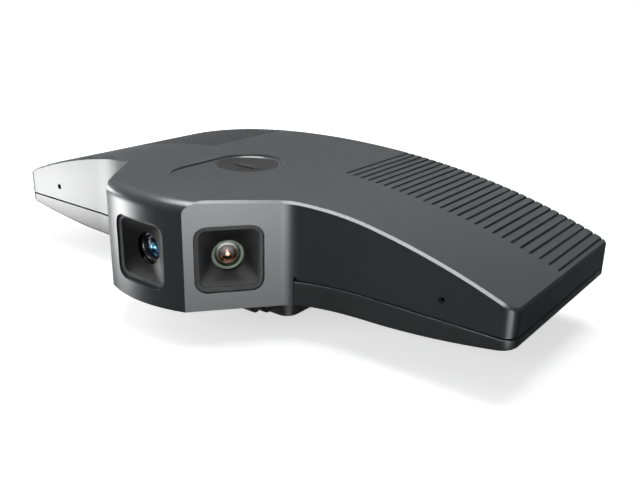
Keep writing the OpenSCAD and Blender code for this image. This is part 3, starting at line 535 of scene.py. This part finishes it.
def station(side):
    """Places a lens module: X runs along the face, Y goes inward and Z is up"""
    spot = Vector((side * SIDE_SPOT.x, SIDE_SPOT.y if side else CENTRE_SPOT_Y, WINDOW_Z))
    return Matrix.Translation(spot) @ Matrix.Rotation(side * FACE_TURN, 4, "Z")


ARCH_STEP = 2.5
LOWER_EDGE_R = 0.9
RIM_CHAMFER = 0.06
SEAM_GAP = 0.3
PARTING_GAP = 0.7
FIT_GAP = 0.1
TONGUE_T = 1.1
TONGUE_H = 1.8
BOARD_Z = 4
POST_D = 6
BOSS_D = 6.4
JOINT_Z = PARTING_Z - 1.6
SCREW_HOLE_D = 1.8
HEAD_HOLE_D = 4.2
COVER_FLOOR = 1.4
COVER_SCREW_X = (56, HALF_W - 17)
COVER_SCREW_Y = (WING_Y + 9.5, BACK_Y - 8)
COVER_SPOTS = [(x, y) for x in COVER_SCREW_X for y in COVER_SCREW_Y]
BOARD_SCREW_X = 34
BOARD_SPOTS = [(BOARD_SCREW_X, PROW_Y + 47), (BOARD_SCREW_X, BACK_Y - 8.6)]
MOUNT_SCREW_X = 16
MOUNT_SPOTS = [(MOUNT_SCREW_X, PROW_Y + 47), (MOUNT_SCREW_X, PROW_Y + 81)]
SCREW_STEPS = 16
BRACKET_SCREW_DEPTH = 11
SOCKET_W = 9.14
SOCKET_H = 3.4
SOCKET_Z = 7.2
SOCKET_LEN = 8
EDGE_STEPS = 6
CUT = 1
CLEAR = 5


def build_lower_shell():
    top = PARTING_Z - PARTING_GAP
    rings = []
    for i in range(EDGE_STEPS + 1):
        turn = math.pi / 2 * i / EDGE_STEPS
        inset = LOWER_EDGE_R * (1 - math.sin(turn))
        rings.append(casing_ring(inset, inset, inset, LOWER_EDGE_R * (1 - math.cos(turn))))
    rings.append(casing_ring(0, 0, 0, top - RIM_CHAMFER))
    rings.append(casing_ring(RIM_CHAMFER, RIM_CHAMFER, RIM_CHAMFER, top))
    shell = as_object(loft(rings), "lower_shell")
    carve(shell, as_object(prism(WALL, WALL, top + CUT), "cutter"))
    tongue = as_object(prism(WALL + FIT_GAP, WALL / 2, PARTING_Z + TONGUE_H), "tongue")
    carve(tongue, as_object(prism(WALL + FIT_GAP + TONGUE_T, 0, CASING_H), "cutter"))
    prow_room = block((-SEAM_X, FRONT_Y - CLEAR, BOARD_Z), (SEAM_X, WING_Y, CASING_H))
    carve(tongue, as_object(prow_room, "cutter"))
    carve(shell, tongue, "UNION")
    bm = slice_across(shell, ARCH_STEP, HALF_W - RISE_LEN)
    for vert in bm.verts:
        fade = (top - RIM_CHAMFER - vert.co.z) / (top - RIM_CHAMFER - WALL)
        vert.co.z += floor_height(vert.co.x) * min(max(fade, 0), 1)
    bm.to_mesh(shell.data)
    bm.free()
    front = as_object(block((-SEAM_X - SEAM_GAP, FRONT_Y - CLEAR, -CUT),
                            (SEAM_X + SEAM_GAP, WING_Y, PARTING_Z + CUT)), "front")
    carve(front, as_object(prism(WALL + FIT_GAP, -2 * CUT, CASING_H), "cutter"))
    carve(shell, front)
    posts, holes, heads = bmesh.new(), bmesh.new(), bmesh.new()
    for spots, width, height in ((COVER_SPOTS, BOSS_D, JOINT_Z), (BOARD_SPOTS, POST_D, BOARD_Z),
                                 (MOUNT_SPOTS, POST_D, BOARD_Z)):
        for x, y in spots:
            floor = floor_height(x)
            hole_start = WALL / 2 if spots is BOARD_SPOTS else -CUT
            for at in (-x, x):
                rod(posts, (at, y, floor + WALL / 2), (at, y, height), width / 2)
                rod(holes, (at, y, hole_start), (at, y, height + CUT / 2), SCREW_HOLE_D / 2,
                    SCREW_STEPS)
                if spots is COVER_SPOTS:
                    rod(heads, (at, y, -CUT), (at, y, floor + COVER_FLOOR), HEAD_HOLE_D / 2)
    for side in (-1, 0, 1):
        foot = station(side) @ Vector((0, BRACKET_SCREW_DEPTH, 0))
        rod(posts, (foot.x, foot.y, WALL / 2), (foot.x, foot.y, BOARD_Z), POST_D / 2)
        rod(holes, (foot.x, foot.y, WALL / 2), (foot.x, foot.y, BOARD_Z + CUT / 2),
            SCREW_HOLE_D / 2, SCREW_STEPS)
    carve(shell, as_object(posts, "cutter"), "UNION")
    carve(shell, as_object(holes, "cutter"))
    carve(shell, as_object(heads, "cutter"))
    half = (SOCKET_W - SOCKET_H) / 2
    outline = arc(Vector((half, SOCKET_Z)), SOCKET_H / 2, -math.pi / 2, math.pi / 2, ROUND_STEPS)
    outline += arc(Vector((-half, SOCKET_Z)), SOCKET_H / 2, math.pi / 2, math.pi * 1.5,
                   ROUND_STEPS)
    carve(shell, as_object(loft([[Vector((p.x, y, p.y)) for p in outline]
                                 for y in (BACK_Y - SOCKET_LEN, BACK_Y + CUT)]), "cutter"))
    to_frame(shell)
    crisp(shell)
    return shell


def moulded(name, colour, rough, gloss=0.3, grain=0.00035, depth=0.00001):
    """Moulded plastic or paint: a faint unevenness in its colour and a fine satin grain"""
    paint = Shader(name)
    cloud = paint.noise(0.03, 3)
    fine = paint.noise(grain, 2)
    shade = tuple(c * 0.9 for c in colour[:3]) + (1,)
    return paint.surface(Base_Color=paint.blend(cloud, shade, colour),
                         Roughness=cloud * 0.05 + (rough - 0.025),
                         Normal=paint.bump(fine, depth, 0.35), Specular_IOR_Level=gloss)


def add_piece(piece, material, body, slot, *nodes):
    piece.data.materials.append(material)
    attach(piece, body)
    if nodes:
        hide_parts(*nodes)


lower_paint = moulded("casing_black", grey(0.04, -0.03), 0.33, 0.2)
add_piece(build_lower_shell(), lower_paint, "casing", "casing_black", "bottom_cover")


# Lens modules, one behind each window. A threaded black barrel carries the front glass and a fine
# turned ring, and screws into a plastic holder on its sensor board. A cast bracket holds all three.
SIDES = {"left": -1, "centre": 0, "right": 1}
RING_DEPTH = 4.5
HEAD_DEPTH = 5.0
GLASS_DEPTH = 5.3
GLASS_R = 4.6
GLASS_EDGE = 1.0
BARREL_HEAD_R = 6.5
BARREL_R = 6.0
BODY_DEPTH = 8.4
BARREL_END = 12.8
BARREL_EDGE = 0.2
THREAD_START = 0.3
THREAD_STOP = 0.6
THREAD_PITCH = 0.4
THREAD_DEPTH = 0.2
SEAT_PLAY = 0.05
SEAT_LEDGE = 1
FLAT_TURN = math.radians(0.5)
TINT_BAND = (0.3, 0.62)
TINT_RIM = (0.72, 0.8)


def spun(points, axis, steps):
    """Solid made by turning a row of points about an axis through the origin"""
    bm = bmesh.new()
    verts = [bm.verts.new(p) for p in points]
    edges = [bm.edges.new(pair) for pair in zip(verts, verts[1:])]
    bmesh.ops.spin(bm, geom=verts + edges, cent=(0, 0, 0), axis=axis, angle=2 * math.pi,
                   steps=steps, use_merge=True)
    bmesh.ops.remove_doubles(bm, verts=bm.verts, dist=MERGE_MM)
    bmesh.ops.recalc_face_normals(bm, faces=bm.faces)
    return bm


def turned(profile, side, name):
    """Solid turned about a lens's axis, from (radius, depth) points in its module"""
    bm = spun([(r, d, 0) for r, d in profile], (0, 1, 0), 64)
    bmesh.ops.transform(bm, matrix=station(side), verts=bm.verts)
    piece = as_object(bm, name)
    to_frame(piece)
    crisp(piece)
    return piece


def shallow_cap(reach, rise, steps):
    """Points of a shallow spherical cap from its middle: how far out, and how far up"""
    radius = (reach ** 2 + rise ** 2) / (2 * rise)
    widest = math.asin(reach / radius)
    return [(radius * math.sin(widest * i / steps), radius * (1 - math.cos(widest * i / steps)))
            for i in range(steps + 1)]


def glass_profile():
    dome = shallow_cap(GLASS_R, GLASS_DEPTH - RING_DEPTH, ROUND_STEPS)
    return [(r, RING_DEPTH + d) for r, d in dome] + [
        (GLASS_R, GLASS_DEPTH + GLASS_EDGE), (0, GLASS_DEPTH + GLASS_EDGE)]


def barrel_profile():
    thread = []
    depth = BODY_DEPTH + THREAD_START
    while depth < BARREL_END - THREAD_STOP:
        thread += [(BARREL_R, depth), (BARREL_R - THREAD_DEPTH, depth + THREAD_DEPTH)]
        depth += THREAD_PITCH
    seat, bore, throat = GLASS_DEPTH + GLASS_EDGE, GLASS_R + SEAT_PLAY, GLASS_R - SEAT_LEDGE
    head = [(bore, HEAD_DEPTH), (BARREL_HEAD_R - BARREL_EDGE, HEAD_DEPTH),
            (BARREL_HEAD_R, HEAD_DEPTH + BARREL_EDGE), (BARREL_HEAD_R, BODY_DEPTH - BARREL_EDGE),
            (BARREL_HEAD_R - BARREL_EDGE, BODY_DEPTH), (BARREL_R, BODY_DEPTH)]
    end = [(BARREL_R, BARREL_END - BARREL_EDGE), (BARREL_R - BARREL_EDGE, BARREL_END),
           (throat, BARREL_END), (throat, seat), (bore, seat), (bore, HEAD_DEPTH)]
    return head + thread + end


RING_PROFILE = [(4.7, 4.62), (4.8, 4.5), (5.44, 4.5), (5.6, 4.66), (5.6, 5.0), (4.7, 5.0),
                (4.7, 4.62)]


def anodised(name, colour, rough, metal=0.4, gloss=0.5):
    """Turned and anodised aluminium, with faint tool marks round it"""
    paint = Shader(name)
    marks = paint.noise(0.0002)
    shade = tuple(c * 0.8 for c in colour[:3]) + (1,)
    return paint.surface(Base_Color=paint.blend(marks, shade, colour), Metallic=metal,
                         Roughness=marks * 0.1 + rough, Normal=paint.bump(marks, 0.000004, 0.3),
                         Specular_IOR_Level=gloss)


def coated_glass(name, side, middle, band, rim):
    """Dark glass over coated inner elements, whose tint changes from its middle to its rim"""
    paint = Shader(name)
    centre = station(side) @ Vector((0, RING_DEPTH, 0)) + Vector((0, 0, CASING_BASE))
    axis = station(side).to_3x3() @ Vector((0, 1, 0))
    across = paint.vector("CROSS_PRODUCT", paint.vector("SUBTRACT", paint.place(), centre * MM),
                          axis)
    share = paint.vector("LENGTH", across) / (GLASS_R * MM)
    to_band = paint.ramp(share, *TINT_BAND, "SMOOTHSTEP")
    to_rim = paint.ramp(share, *TINT_RIM, "SMOOTHSTEP")
    tint = paint.blend(to_rim, paint.blend(to_band, middle, band), rim)
    hollow = (share - 0.45).math("ABSOLUTE").math("MINIMUM", 0.3)
    return paint.surface(Base_Color=tint, Metallic=0.9 - to_rim * 0.9,
                         Roughness=to_rim * 0.1 + 0.16, Normal=paint.bump(hollow, 0.0035, 1.0),
                         Coat_Weight=0.15, Coat_Roughness=0.1, Coat_IOR=1.5)


def refined(node, material, edge=0.15, turn=30):
    """A copy of a CAD node's mesh, merged, smooth and with rounded edges, stands for the node"""
    source = frame["nodes"][node]
    bm = bmesh.new()
    bm.from_mesh(source.data)
    bmesh.ops.remove_doubles(bm, verts=bm.verts, dist=4 * MERGE_M)
    bmesh.ops.dissolve_limit(bm, angle_limit=FLAT_TURN, verts=bm.verts, edges=bm.edges)
    piece = as_object(bm, node + "_rounded")
    crisp(piece, turn)
    rounding = piece.modifiers.new("edges", "BEVEL")
    rounding.width = edge * MM
    rounding.segments = 2
    rounding.limit_method = "ANGLE"
    rounding.angle_limit = math.radians(turn)
    rounding.harden_normals = True
    add_piece(piece, material, source["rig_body"], material.name.split(".")[0], node)
    return piece


def brushed(name, colour, rough, stretch=(1, 12, 12)):
    """Bare or plated metal with fine drawn or rolled marks"""
    paint = Shader(name)
    marks = paint.noise(0.0008, 3, stretch)
    shade = tuple(c * 0.85 for c in colour[:3]) + (1,)
    return paint.surface(Base_Color=paint.blend(marks, shade, colour), Metallic=1.0,
                         Roughness=marks * 0.12 + rough, Normal=paint.bump(marks, 0.000004, 0.3))


def circuit_board():
    """Green solder resist over copper tracks, with bare pads here and there"""
    paint = Shader("circuit_board")
    tracks = paint.node("ShaderNodeTexBrick", {"offset": 0.5},
                        {"Vector": paint.place(), "Scale": 420.0, "Mortar Size": 0.12,
                         "Bias": 0.0})["Fac"]
    pads = paint.node("ShaderNodeTexVoronoi", {"feature": "F1"},
                      {"Vector": paint.place(), "Scale": 380.0})
    bare = paint.ramp(pads["Distance"], 0.16, 0.12)
    resist = paint.blend(tracks, (0.012, 0.10, 0.05, 1), (0.03, 0.19, 0.10, 1))
    return paint.surface(Base_Color=paint.blend(bare, resist, (0.75, 0.60, 0.32, 1)),
                         Metallic=bare * 0.9, Roughness=0.45 - tracks * 0.12,
                         Normal=paint.bump(tracks, 0.00002, 0.5))


barrel_black = anodised("barrel_black", grey(0.018), 0.35)
ring_green = anodised("ring_green", (0.36, 0.44, 0.34, 1), 0.4, 0.0, 0.15)
ring_black = anodised("ring_black", grey(0.012), 0.22)
inner_plastic = moulded("inner_plastic", grey(0.03), 0.6, 0.4)
board_green = circuit_board()
cast_alloy = brushed("cast_alloy", (0.55, 0.56, 0.58, 1), 0.42, (1, 1, 1))
plain_steel = brushed("steel", grey(0.62), 0.28)
flex_amber = moulded("flex_amber", (0.62, 0.30, 0.06, 1), 0.3, 0.5)
GLASS_TINTS = {
    "left": ((0.10, 0.035, 0.05, 1), (0.16, 0.08, 0.08, 1), (0.008, 0.02, 0.014, 1)),
    "centre": ((0.06, 0.20, 0.30, 1), (0.02, 0.06, 0.12, 1), (0.004, 0.008, 0.014, 1)),
    "right": ((0.12, 0.045, 0.028, 1), (0.18, 0.095, 0.065, 1), (0.008, 0.022, 0.012, 1))}
for word, side in SIDES.items():
    add_piece(turned(barrel_profile(), side, "barrel_" + word), barrel_black, "casing",
              "barrel_black", "lens_barrel_" + word)
    glass_look = coated_glass("coated_glass_" + word, side, *GLASS_TINTS[word])
    add_piece(turned(glass_profile(), side, "glass_" + word), glass_look, "casing",
              "coated_glass", "front_glass_" + word)
    add_piece(turned(RING_PROFILE, side, "ring_" + word), ring_green if side else ring_black,
              "casing", "ring_green", "lens_ring_" + word)
    refined("lens_holder_" + word, inner_plastic)
    refined("sensor_board_" + word, board_green, 0.08)
refined("camera_bracket", cast_alloy, 0.25)
refined("bracket_screws", plain_steel, 0.1)
refined("camera_flexes", flex_amber, 0.05)


# Main board with the cable socket at the back, a tinned shield over its processor, and a sheet
# aluminium heat spreader pressed on it through a soft pad. Its screws go into the lower shell.
BOARD_T = 1.6
CHIP_RISE = 0.05


def tinned(name):
    paint = Shader(name)
    cloud = paint.noise(0.004, 3)
    return paint.surface(Base_Color=paint.blend(cloud, grey(0.56), grey(0.68)), Metallic=1.0,
                         Roughness=cloud * 0.15 + 0.24)


tinned_steel = tinned("tinned_steel")
spreader_metal = brushed("sheet_aluminium", (0.72, 0.73, 0.75, 1), 0.3)
thermal_rubber = moulded("thermal_rubber", (0.35, 0.42, 0.52, 1), 0.75, 0.2, 0.0006, 0.00003)
main_board = refined("main_board", board_green, 0.08)
chip_black = moulded("chip_black", grey(0.02), 0.5, 0.4)
main_board.data.materials.append(chip_black)
board_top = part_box("main_board")[0].z + BOARD_T * MM
for face in main_board.data.polygons:
    if face.center.z > board_top + CHIP_RISE * MM:
        face.material_index = 1
refined("board_screws", plain_steel, 0.1)
refined("shield_can", tinned_steel, 0.3)
refined("thermal_pad", thermal_rubber, 0.2)
refined("heat_spreader", spreader_metal, 0.2)
refined("usb_socket", tinned_steel, 0.06)


# Microphones, one in each wing: a small board behind a rubber boot that seals it to the hole in
# the front wall, with its cable lying on the lower shell.
boot_rubber = moulded("grip_rubber", grey(0.014), 0.75, 0.1, 0.0005, 0.00002)
lead_rubber = moulded("lead_rubber", grey(0.02), 0.5, 0.4)
for word in ("left", "right"):
    refined("mic_boot_" + word, boot_rubber, 0.2)
    refined("mic_board_" + word, board_green, 0.08)
refined("mic_leads", lead_rubber, 0.05, 50)


# Casing, upper shell. One injection moulding in satin dark grey, with a convex prow, a softly
# rounded edge over the middle window, and a crisp chamfer along the side faces and wings.
SOFT_EDGE_R = 4.6
FRONT_CHAMFER = 0.85
REAR_CHAMFER = 0.6
SLAB_DEPTH = 60
GROOVE_W = 1.0
GROOVE_DEPTH = 0.9
GROOVE_PITCH = 3.42
GROOVE_FIRST_X = 36.3
GROOVE_LEN = 47
GROOVE_COUNT = 26
GROOVE_DRIFT = 2.5
GROOVE_OVERRUN = 8
GROOVE_STEPS = 5
SLOT_W = 28.4
SLOT_FRONT_Y = PROW_Y + 18.4
SLOT_BACK_Y = SLOT_FRONT_Y + 49.4
SLIDER_W = SLOT_W + 3
SLIDER_FRONT_Y = SLOT_FRONT_Y - 1.5
SLIDER_BACK_Y = SLOT_BACK_Y + 16.5
SLIDER_TRAVEL = 15
SLIDER_PLAY = 0.4
LIP_T = 0.6
NOTCH = 1.1
MIC_X = HALF_W - 24.6
MIC_Z = 16
MIC_HOLE_D = 1.7
MIC_MOUTH_D = 2.5
MIC_MOUTH_DEPTH = 1.2
PILOT_LEN = 7
# How much narrower the groove is at each height above its bottom
GROOVE_ROUNDING = ((0.6, 0), (0.2, 0.2), (0, 0.5), (0, 0.5 + GROOVE_DEPTH))
# How far the rounded edge of the slider's opening lies outside it at each height
SLOT_EDGE = ((0, -WALL - CUT), (0, -0.35), (0.1, -0.15), (0.4, -0.03), (1.5, 0.27))


def top_edge_rings():
    """Rings from the flat slab's underside to its top: the rounded edge over the middle face and
    the chamfer of the others meet in a mitre at the prow's upright edges"""
    chamfer_start = math.asin(1 - FRONT_CHAMFER / SOFT_EDGE_R)
    turns = [chamfer_start * i / EDGE_STEPS for i in range(EDGE_STEPS + 1)]
    turns += [chamfer_start + (math.pi / 2 - chamfer_start) * i / EDGE_STEPS
              for i in range(1, EDGE_STEPS + 1)]
    rings = [casing_ring(0, 0, 0, -SLAB_DEPTH)]
    for turn in turns:
        drop = SOFT_EDGE_R * (1 - math.sin(turn))
        side = max(FRONT_CHAMFER - drop, 0)
        rear = max(REAR_CHAMFER - drop, 0)
        rings.append(casing_ring(SOFT_EDGE_R * (1 - math.cos(turn)), side, rear, -drop))
    return rings


def obround(width, front, back, z, steps=36):
    """Outline with round ends along Y, at a height"""
    radius = width / 2
    points = arc(Vector((0, front + radius)), radius, math.pi, 2 * math.pi, steps)
    points += arc(Vector((0, back - radius)), radius, 0, math.pi, steps)
    return [Vector((p.x, p.y, z)) for p in points]


def groove_cutters():
    """Round-ended bars with a round bottom that leave the grooves of both wings"""
    bm = loft([obround(GROOVE_W - narrower, BACK_Y - GROOVE_LEN + narrower / 2,
                       BACK_Y + GROOVE_OVERRUN, rise - GROOVE_DEPTH, GROOVE_STEPS)
               for narrower, rise in GROOVE_ROUNDING])
    first = bm.verts[:] + bm.edges[:] + bm.faces[:]
    for i in range(GROOVE_COUNT):
        drift = GROOVE_DRIFT * (i / (GROOVE_COUNT - 1)) ** 2
        for sign in (-1, 1):
            twin = bmesh.ops.duplicate(bm, geom=first)["geom"]
            bmesh.ops.translate(bm, vec=(sign * (GROOVE_FIRST_X + i * GROOVE_PITCH), drift, 0),
                                verts=[v for v in twin if isinstance(v, bmesh.types.BMVert)])
    bmesh.ops.delete(bm, geom=[v for v in first if isinstance(v, bmesh.types.BMVert)],
                     context="VERTS")
    return as_object(bm, "cutter")


def bend_to_arch(body, step):
    bm = slice_across(body, step)
    for vert in bm.verts:
        vert.co.z += arch_height(vert.co.x)
    bm.to_mesh(body.data)
    bm.free()


def build_upper_shell():
    shell = as_object(loft(top_edge_rings()), "upper_shell")
    carve(shell, as_object(prism(WALL, -SLAB_DEPTH - CUT, -WALL), "cutter"))
    carve(shell, groove_cutters())
    carve(shell, as_object(loft([
        obround(SLOT_W + 2 * out, SLOT_FRONT_Y - out, SLOT_BACK_Y + out, z)
        for out, z in SLOT_EDGE]), "cutter"))
    room = (SLIDER_W + SLIDER_PLAY, SLIDER_FRONT_Y - SLIDER_TRAVEL - SLIDER_PLAY,
            SLIDER_BACK_Y + SLIDER_PLAY)
    carve(shell, as_object(loft([obround(*room, z) for z in (-WALL - CUT, -LIP_T)]), "cutter"))
    bend_to_arch(shell, ARCH_STEP)
    low, high = -SLAB_DEPTH, PARTING_Z
    outer, before, behind = HALF_W + CLEAR, WING_Y - 4 * CLEAR, BACK_Y + CLEAR
    below = loft([[Vector((x, y, z)) for x, y in (
        (-outer, before), (-SEAM_X, before), (-SEAM_X, WING_Y), (SEAM_X, WING_Y),
        (SEAM_X, before), (outer, before), (outer, behind), (-outer, behind))]
        for z in (low, high)])
    carve(shell, as_object(below, "cutter"))
    carve(shell, as_object(block((-SEAM_X - CUT, FRONT_Y - CLEAR, low),
                                 (SEAM_X + CUT, WING_Y + CUT, 0)), "cutter"))
    for side in (-1, 0, 1):
        hole = loft([square_ring(WINDOW_W, WINDOW_R, depth)
                     for depth in (2 * WALL, -WALL - PROW_BULGE)])
        bmesh.ops.transform(hole, matrix=station(side), verts=hole.verts)
        carve(shell, as_object(hole, "cutter"))
    holes, mouths, bosses, pilots = bmesh.new(), bmesh.new(), bmesh.new(), bmesh.new()
    for sign in (-1, 1):
        mic_x = sign * MIC_X
        rod(holes, (mic_x, WING_Y - CUT, MIC_Z), (mic_x, WING_Y + WALL + CUT, MIC_Z),
            MIC_HOLE_D / 2)
        rod(mouths, (mic_x, WING_Y - CUT, MIC_Z), (mic_x, WING_Y + MIC_MOUTH_DEPTH, MIC_Z),
            MIC_MOUTH_D / 2)
        for x, y in COVER_SPOTS:
            at = sign * x
            rod(bosses, (at, y, JOINT_Z), (at, y, arch_height(x) - WALL / 2), BOSS_D / 2)
            rod(pilots, (at, y, JOINT_Z - CUT), (at, y, JOINT_Z + PILOT_LEN), SCREW_HOLE_D / 2,
                SCREW_STEPS)
    carve(shell, as_object(mouths, "cutter"))
    carve(shell, as_object(holes, "cutter"))
    carve(shell, as_object(bosses, "cutter"), "UNION")
    carve(shell, as_object(pilots, "cutter"))
    for low_x in (SEAM_X, -SEAM_X - NOTCH):
        carve(shell, as_object(block((low_x, FRONT_Y, PARTING_Z - 0.1),
                                     (low_x + NOTCH, WING_Y + CUT, PARTING_Z + NOTCH)), "cutter"))
    to_frame(shell)
    crisp(shell, 12)
    return shell


casing_paint = moulded("casing_grey", grey(0.042, -0.06), 0.31, 0.2)
add_piece(build_upper_shell(), casing_paint, "casing", "casing_grey", "top_cover")
black_steel = brushed("black_steel", grey(0.04), 0.35)
refined("cover_screws", black_steel, 0.1)


# Window frames and lens hoods. A satin trim frame sits a little behind the casing's face, and the
# satin black hood behind it runs in from a rounded square to the round throat of the lens.
FRAME_W = 1.7
HOOD_LIP = 0.5
HOOD_DEPTH = 3.2
HOOD_STEP = 2.0
HOOD_FLANGE = 1.2
HOOD_PLAY = 0.2
HOOD_RIM = 0.6
THROAT_R = 5.8
THROAT_LEN = 0.3


def build_hood(word, side):
    inner = WINDOW_W - 2 * FRAME_W
    corner = WINDOW_R - FRAME_W
    mouth, plug, flange = inner - HOOD_RIM, inner - HOOD_PLAY, WINDOW_W + 2 * HOOD_FLANGE
    sizes = ((mouth, corner, HOOD_LIP), (2 * THROAT_R, THROAT_R, HOOD_DEPTH - THROAT_LEN),
             (2 * THROAT_R, THROAT_R, HOOD_DEPTH), (flange, WINDOW_R, HOOD_DEPTH),
             (flange, WINDOW_R, HOOD_STEP), (plug, corner, HOOD_STEP), (plug, corner, HOOD_LIP),
             (mouth, corner, HOOD_LIP))
    bm = loft([square_ring(*size) for size in sizes], False)
    bmesh.ops.transform(bm, matrix=station(side), verts=bm.verts)
    hood = as_object(bm, "hood_" + word)
    to_frame(hood)
    crisp(hood, 30)
    return hood


frame_grey = moulded("frame_grey", grey(0.095), 0.45, 0.06)
hood_black = moulded("hood_black", grey(0.012), 0.42, 0.06, 0.0005, 0.00001)
for word, side in SIDES.items():
    refined("window_frame_" + word, frame_grey, 0.22)
    add_piece(build_hood(word, side), hood_black, "casing", "hood_black", "lens_hood_" + word)


# Privacy slider. A satin plate follows the arch below the lip of its opening, with a round finger
# dish and a rubber bar. Ramps under it pull the black shutter down in front of all three lenses.
SLIDER_DROP = 0.68
SLIDER_T = 1.2
DISH_Y = SLOT_BACK_Y - SLOT_W / 2
DISH_R = 12.7
DISH_DEPTH = 1.3
DISH_STEP = 0.5
DISH_FLOOR = 1.1
DISH_RIM = 0.6
DISH_STEPS = 16
BOSS_TOP = 0.5
CHEEK_X = 8.9
CHEEK_T = 0.9
RAMP_Y = PROW_Y + 21
RAMP_Z = 32.7
RAMP_DROP = 12.2
RAMP_RIM = 2.4
RAMP_HOLE_R = 1.05
CHEEK_SIDE = 2
CHEEK_SCOOP = 2.6


def build_slider():
    plate = as_object(loft([obround(SLIDER_W, SLIDER_FRONT_Y, SLIDER_BACK_Y, -drop)
                            for drop in (SLIDER_DROP + SLIDER_T, SLIDER_DROP)]), "slider_plate")
    bend_to_arch(plate, ARCH_STEP)
    top = CASING_H - SLIDER_DROP
    boss = bmesh.new()
    rod(boss, (0, DISH_Y, top - DISH_DEPTH - DISH_FLOOR), (0, DISH_Y, top - BOSS_TOP),
        DISH_R + DISH_RIM, 96)
    carve(plate, as_object(boss, "cutter"), "UNION")
    for sign in (-1, 1):
        middle = sign * (CHEEK_X + CHEEK_T / 2)
        left, right = sign * CHEEK_X - CHEEK_SIDE, sign * CHEEK_X + CHEEK_SIDE
        cheek = as_object(block((middle - CHEEK_T / 2, RAMP_Y - RAMP_RIM,
                                 RAMP_Z - RAMP_DROP - RAMP_RIM),
                                (middle + CHEEK_T / 2, RAMP_Y + SLIDER_TRAVEL + RAMP_RIM,
                                 top - SLIDER_T / 2)), "cheek")
        low_front = block((left, RAMP_Y - RAMP_RIM - CUT, top - CHEEK_SCOOP),
                          (right, RAMP_Y - CUT / 2, CASING_H))
        carve(cheek, as_object(low_front, "cutter"))
        ends = [Vector((RAMP_Y, RAMP_Z)), Vector((RAMP_Y + SLIDER_TRAVEL, RAMP_Z - RAMP_DROP))]
        fall = (ends[1] - ends[0]).angle_signed(Vector((1, 0)))
        outline = arc(ends[0], RAMP_HOLE_R, fall + math.pi / 2, fall + math.pi * 1.5, ROUND_STEPS)
        outline += arc(ends[1], RAMP_HOLE_R, fall - math.pi / 2, fall + math.pi / 2, ROUND_STEPS)
        carve(cheek, as_object(loft([[Vector((x, p.x, p.y)) for p in outline]
                                     for x in (left, right)]), "cutter"))
        carve(plate, cheek, "UNION")
    bowl_r = DISH_R - DISH_STEP
    bowl = shallow_cap(bowl_r, DISH_DEPTH - DISH_STEP, DISH_STEPS)
    profile = [(r, 0, z - DISH_DEPTH) for r, z in bowl] + [(DISH_R + CUT, 0, CUT), (0, 0, CUT)]
    bm = spun(profile, (0, 0, 1), 96)
    bmesh.ops.translate(bm, vec=(0, DISH_Y, top), verts=bm.verts)
    carve(plate, as_object(bm, "cutter"))
    to_frame(plate)
    crisp(plate, 20)
    middle = Vector((0, DISH_Y * MM))
    deepest = (CASING_BASE + top - DISH_DEPTH - 0.1) * MM
    for face in plate.data.polygons:
        inside = (face.center.xy - middle).length < (bowl_r - 0.1) * MM
        if inside and face.normal.z > 0.9 and face.center.z > deepest:
            face.material_index = 1
    return plate


refined("slider_guide", inner_plastic, 0.15)
refined("detent_spring", plain_steel, 0.03)
refined("shutter_curtain", inner_plastic, 0.1)
slider_plate = build_slider()
add_piece(slider_plate, casing_paint, "slider", "casing_grey", "privacy_slider")
slider_plate.data.materials.append(moulded("dish_grey", grey(0.014), 0.45, 0.05))
refined("slider_grip", boot_rubber, 0.25)


# Clip. A plate screwed under the casing carries the hinged arm, whose front lip hooks over a
# screen's edge, and the folding leg with its brass tripod thread and four rubber pads.
clip_black = moulded("clip_black", grey(0.03), 0.46, 0.12, 0.0005, 0.000015)
pad_rubber = moulded("pad_rubber", grey(0.02), 0.8, 0.25, 0.0006, 0.00003)
brass_insert = brushed("brass_insert", (0.72, 0.50, 0.20, 1), 0.25)
refined("mount_plate", clip_black, 0.2, 50)
refined("mount_screws", plain_steel, 0.1)
refined("front_hinge_pin", plain_steel, 0.2)
refined("clip_arm", clip_black, 0.25, 50)
refined("rear_hinge_pin", plain_steel, 0.2)
refined("clip_leg", clip_black, 0.4, 50)
refined("tripod_insert", brass_insert, 0.1)
refined("leg_pads", pad_rubber, 0.2)
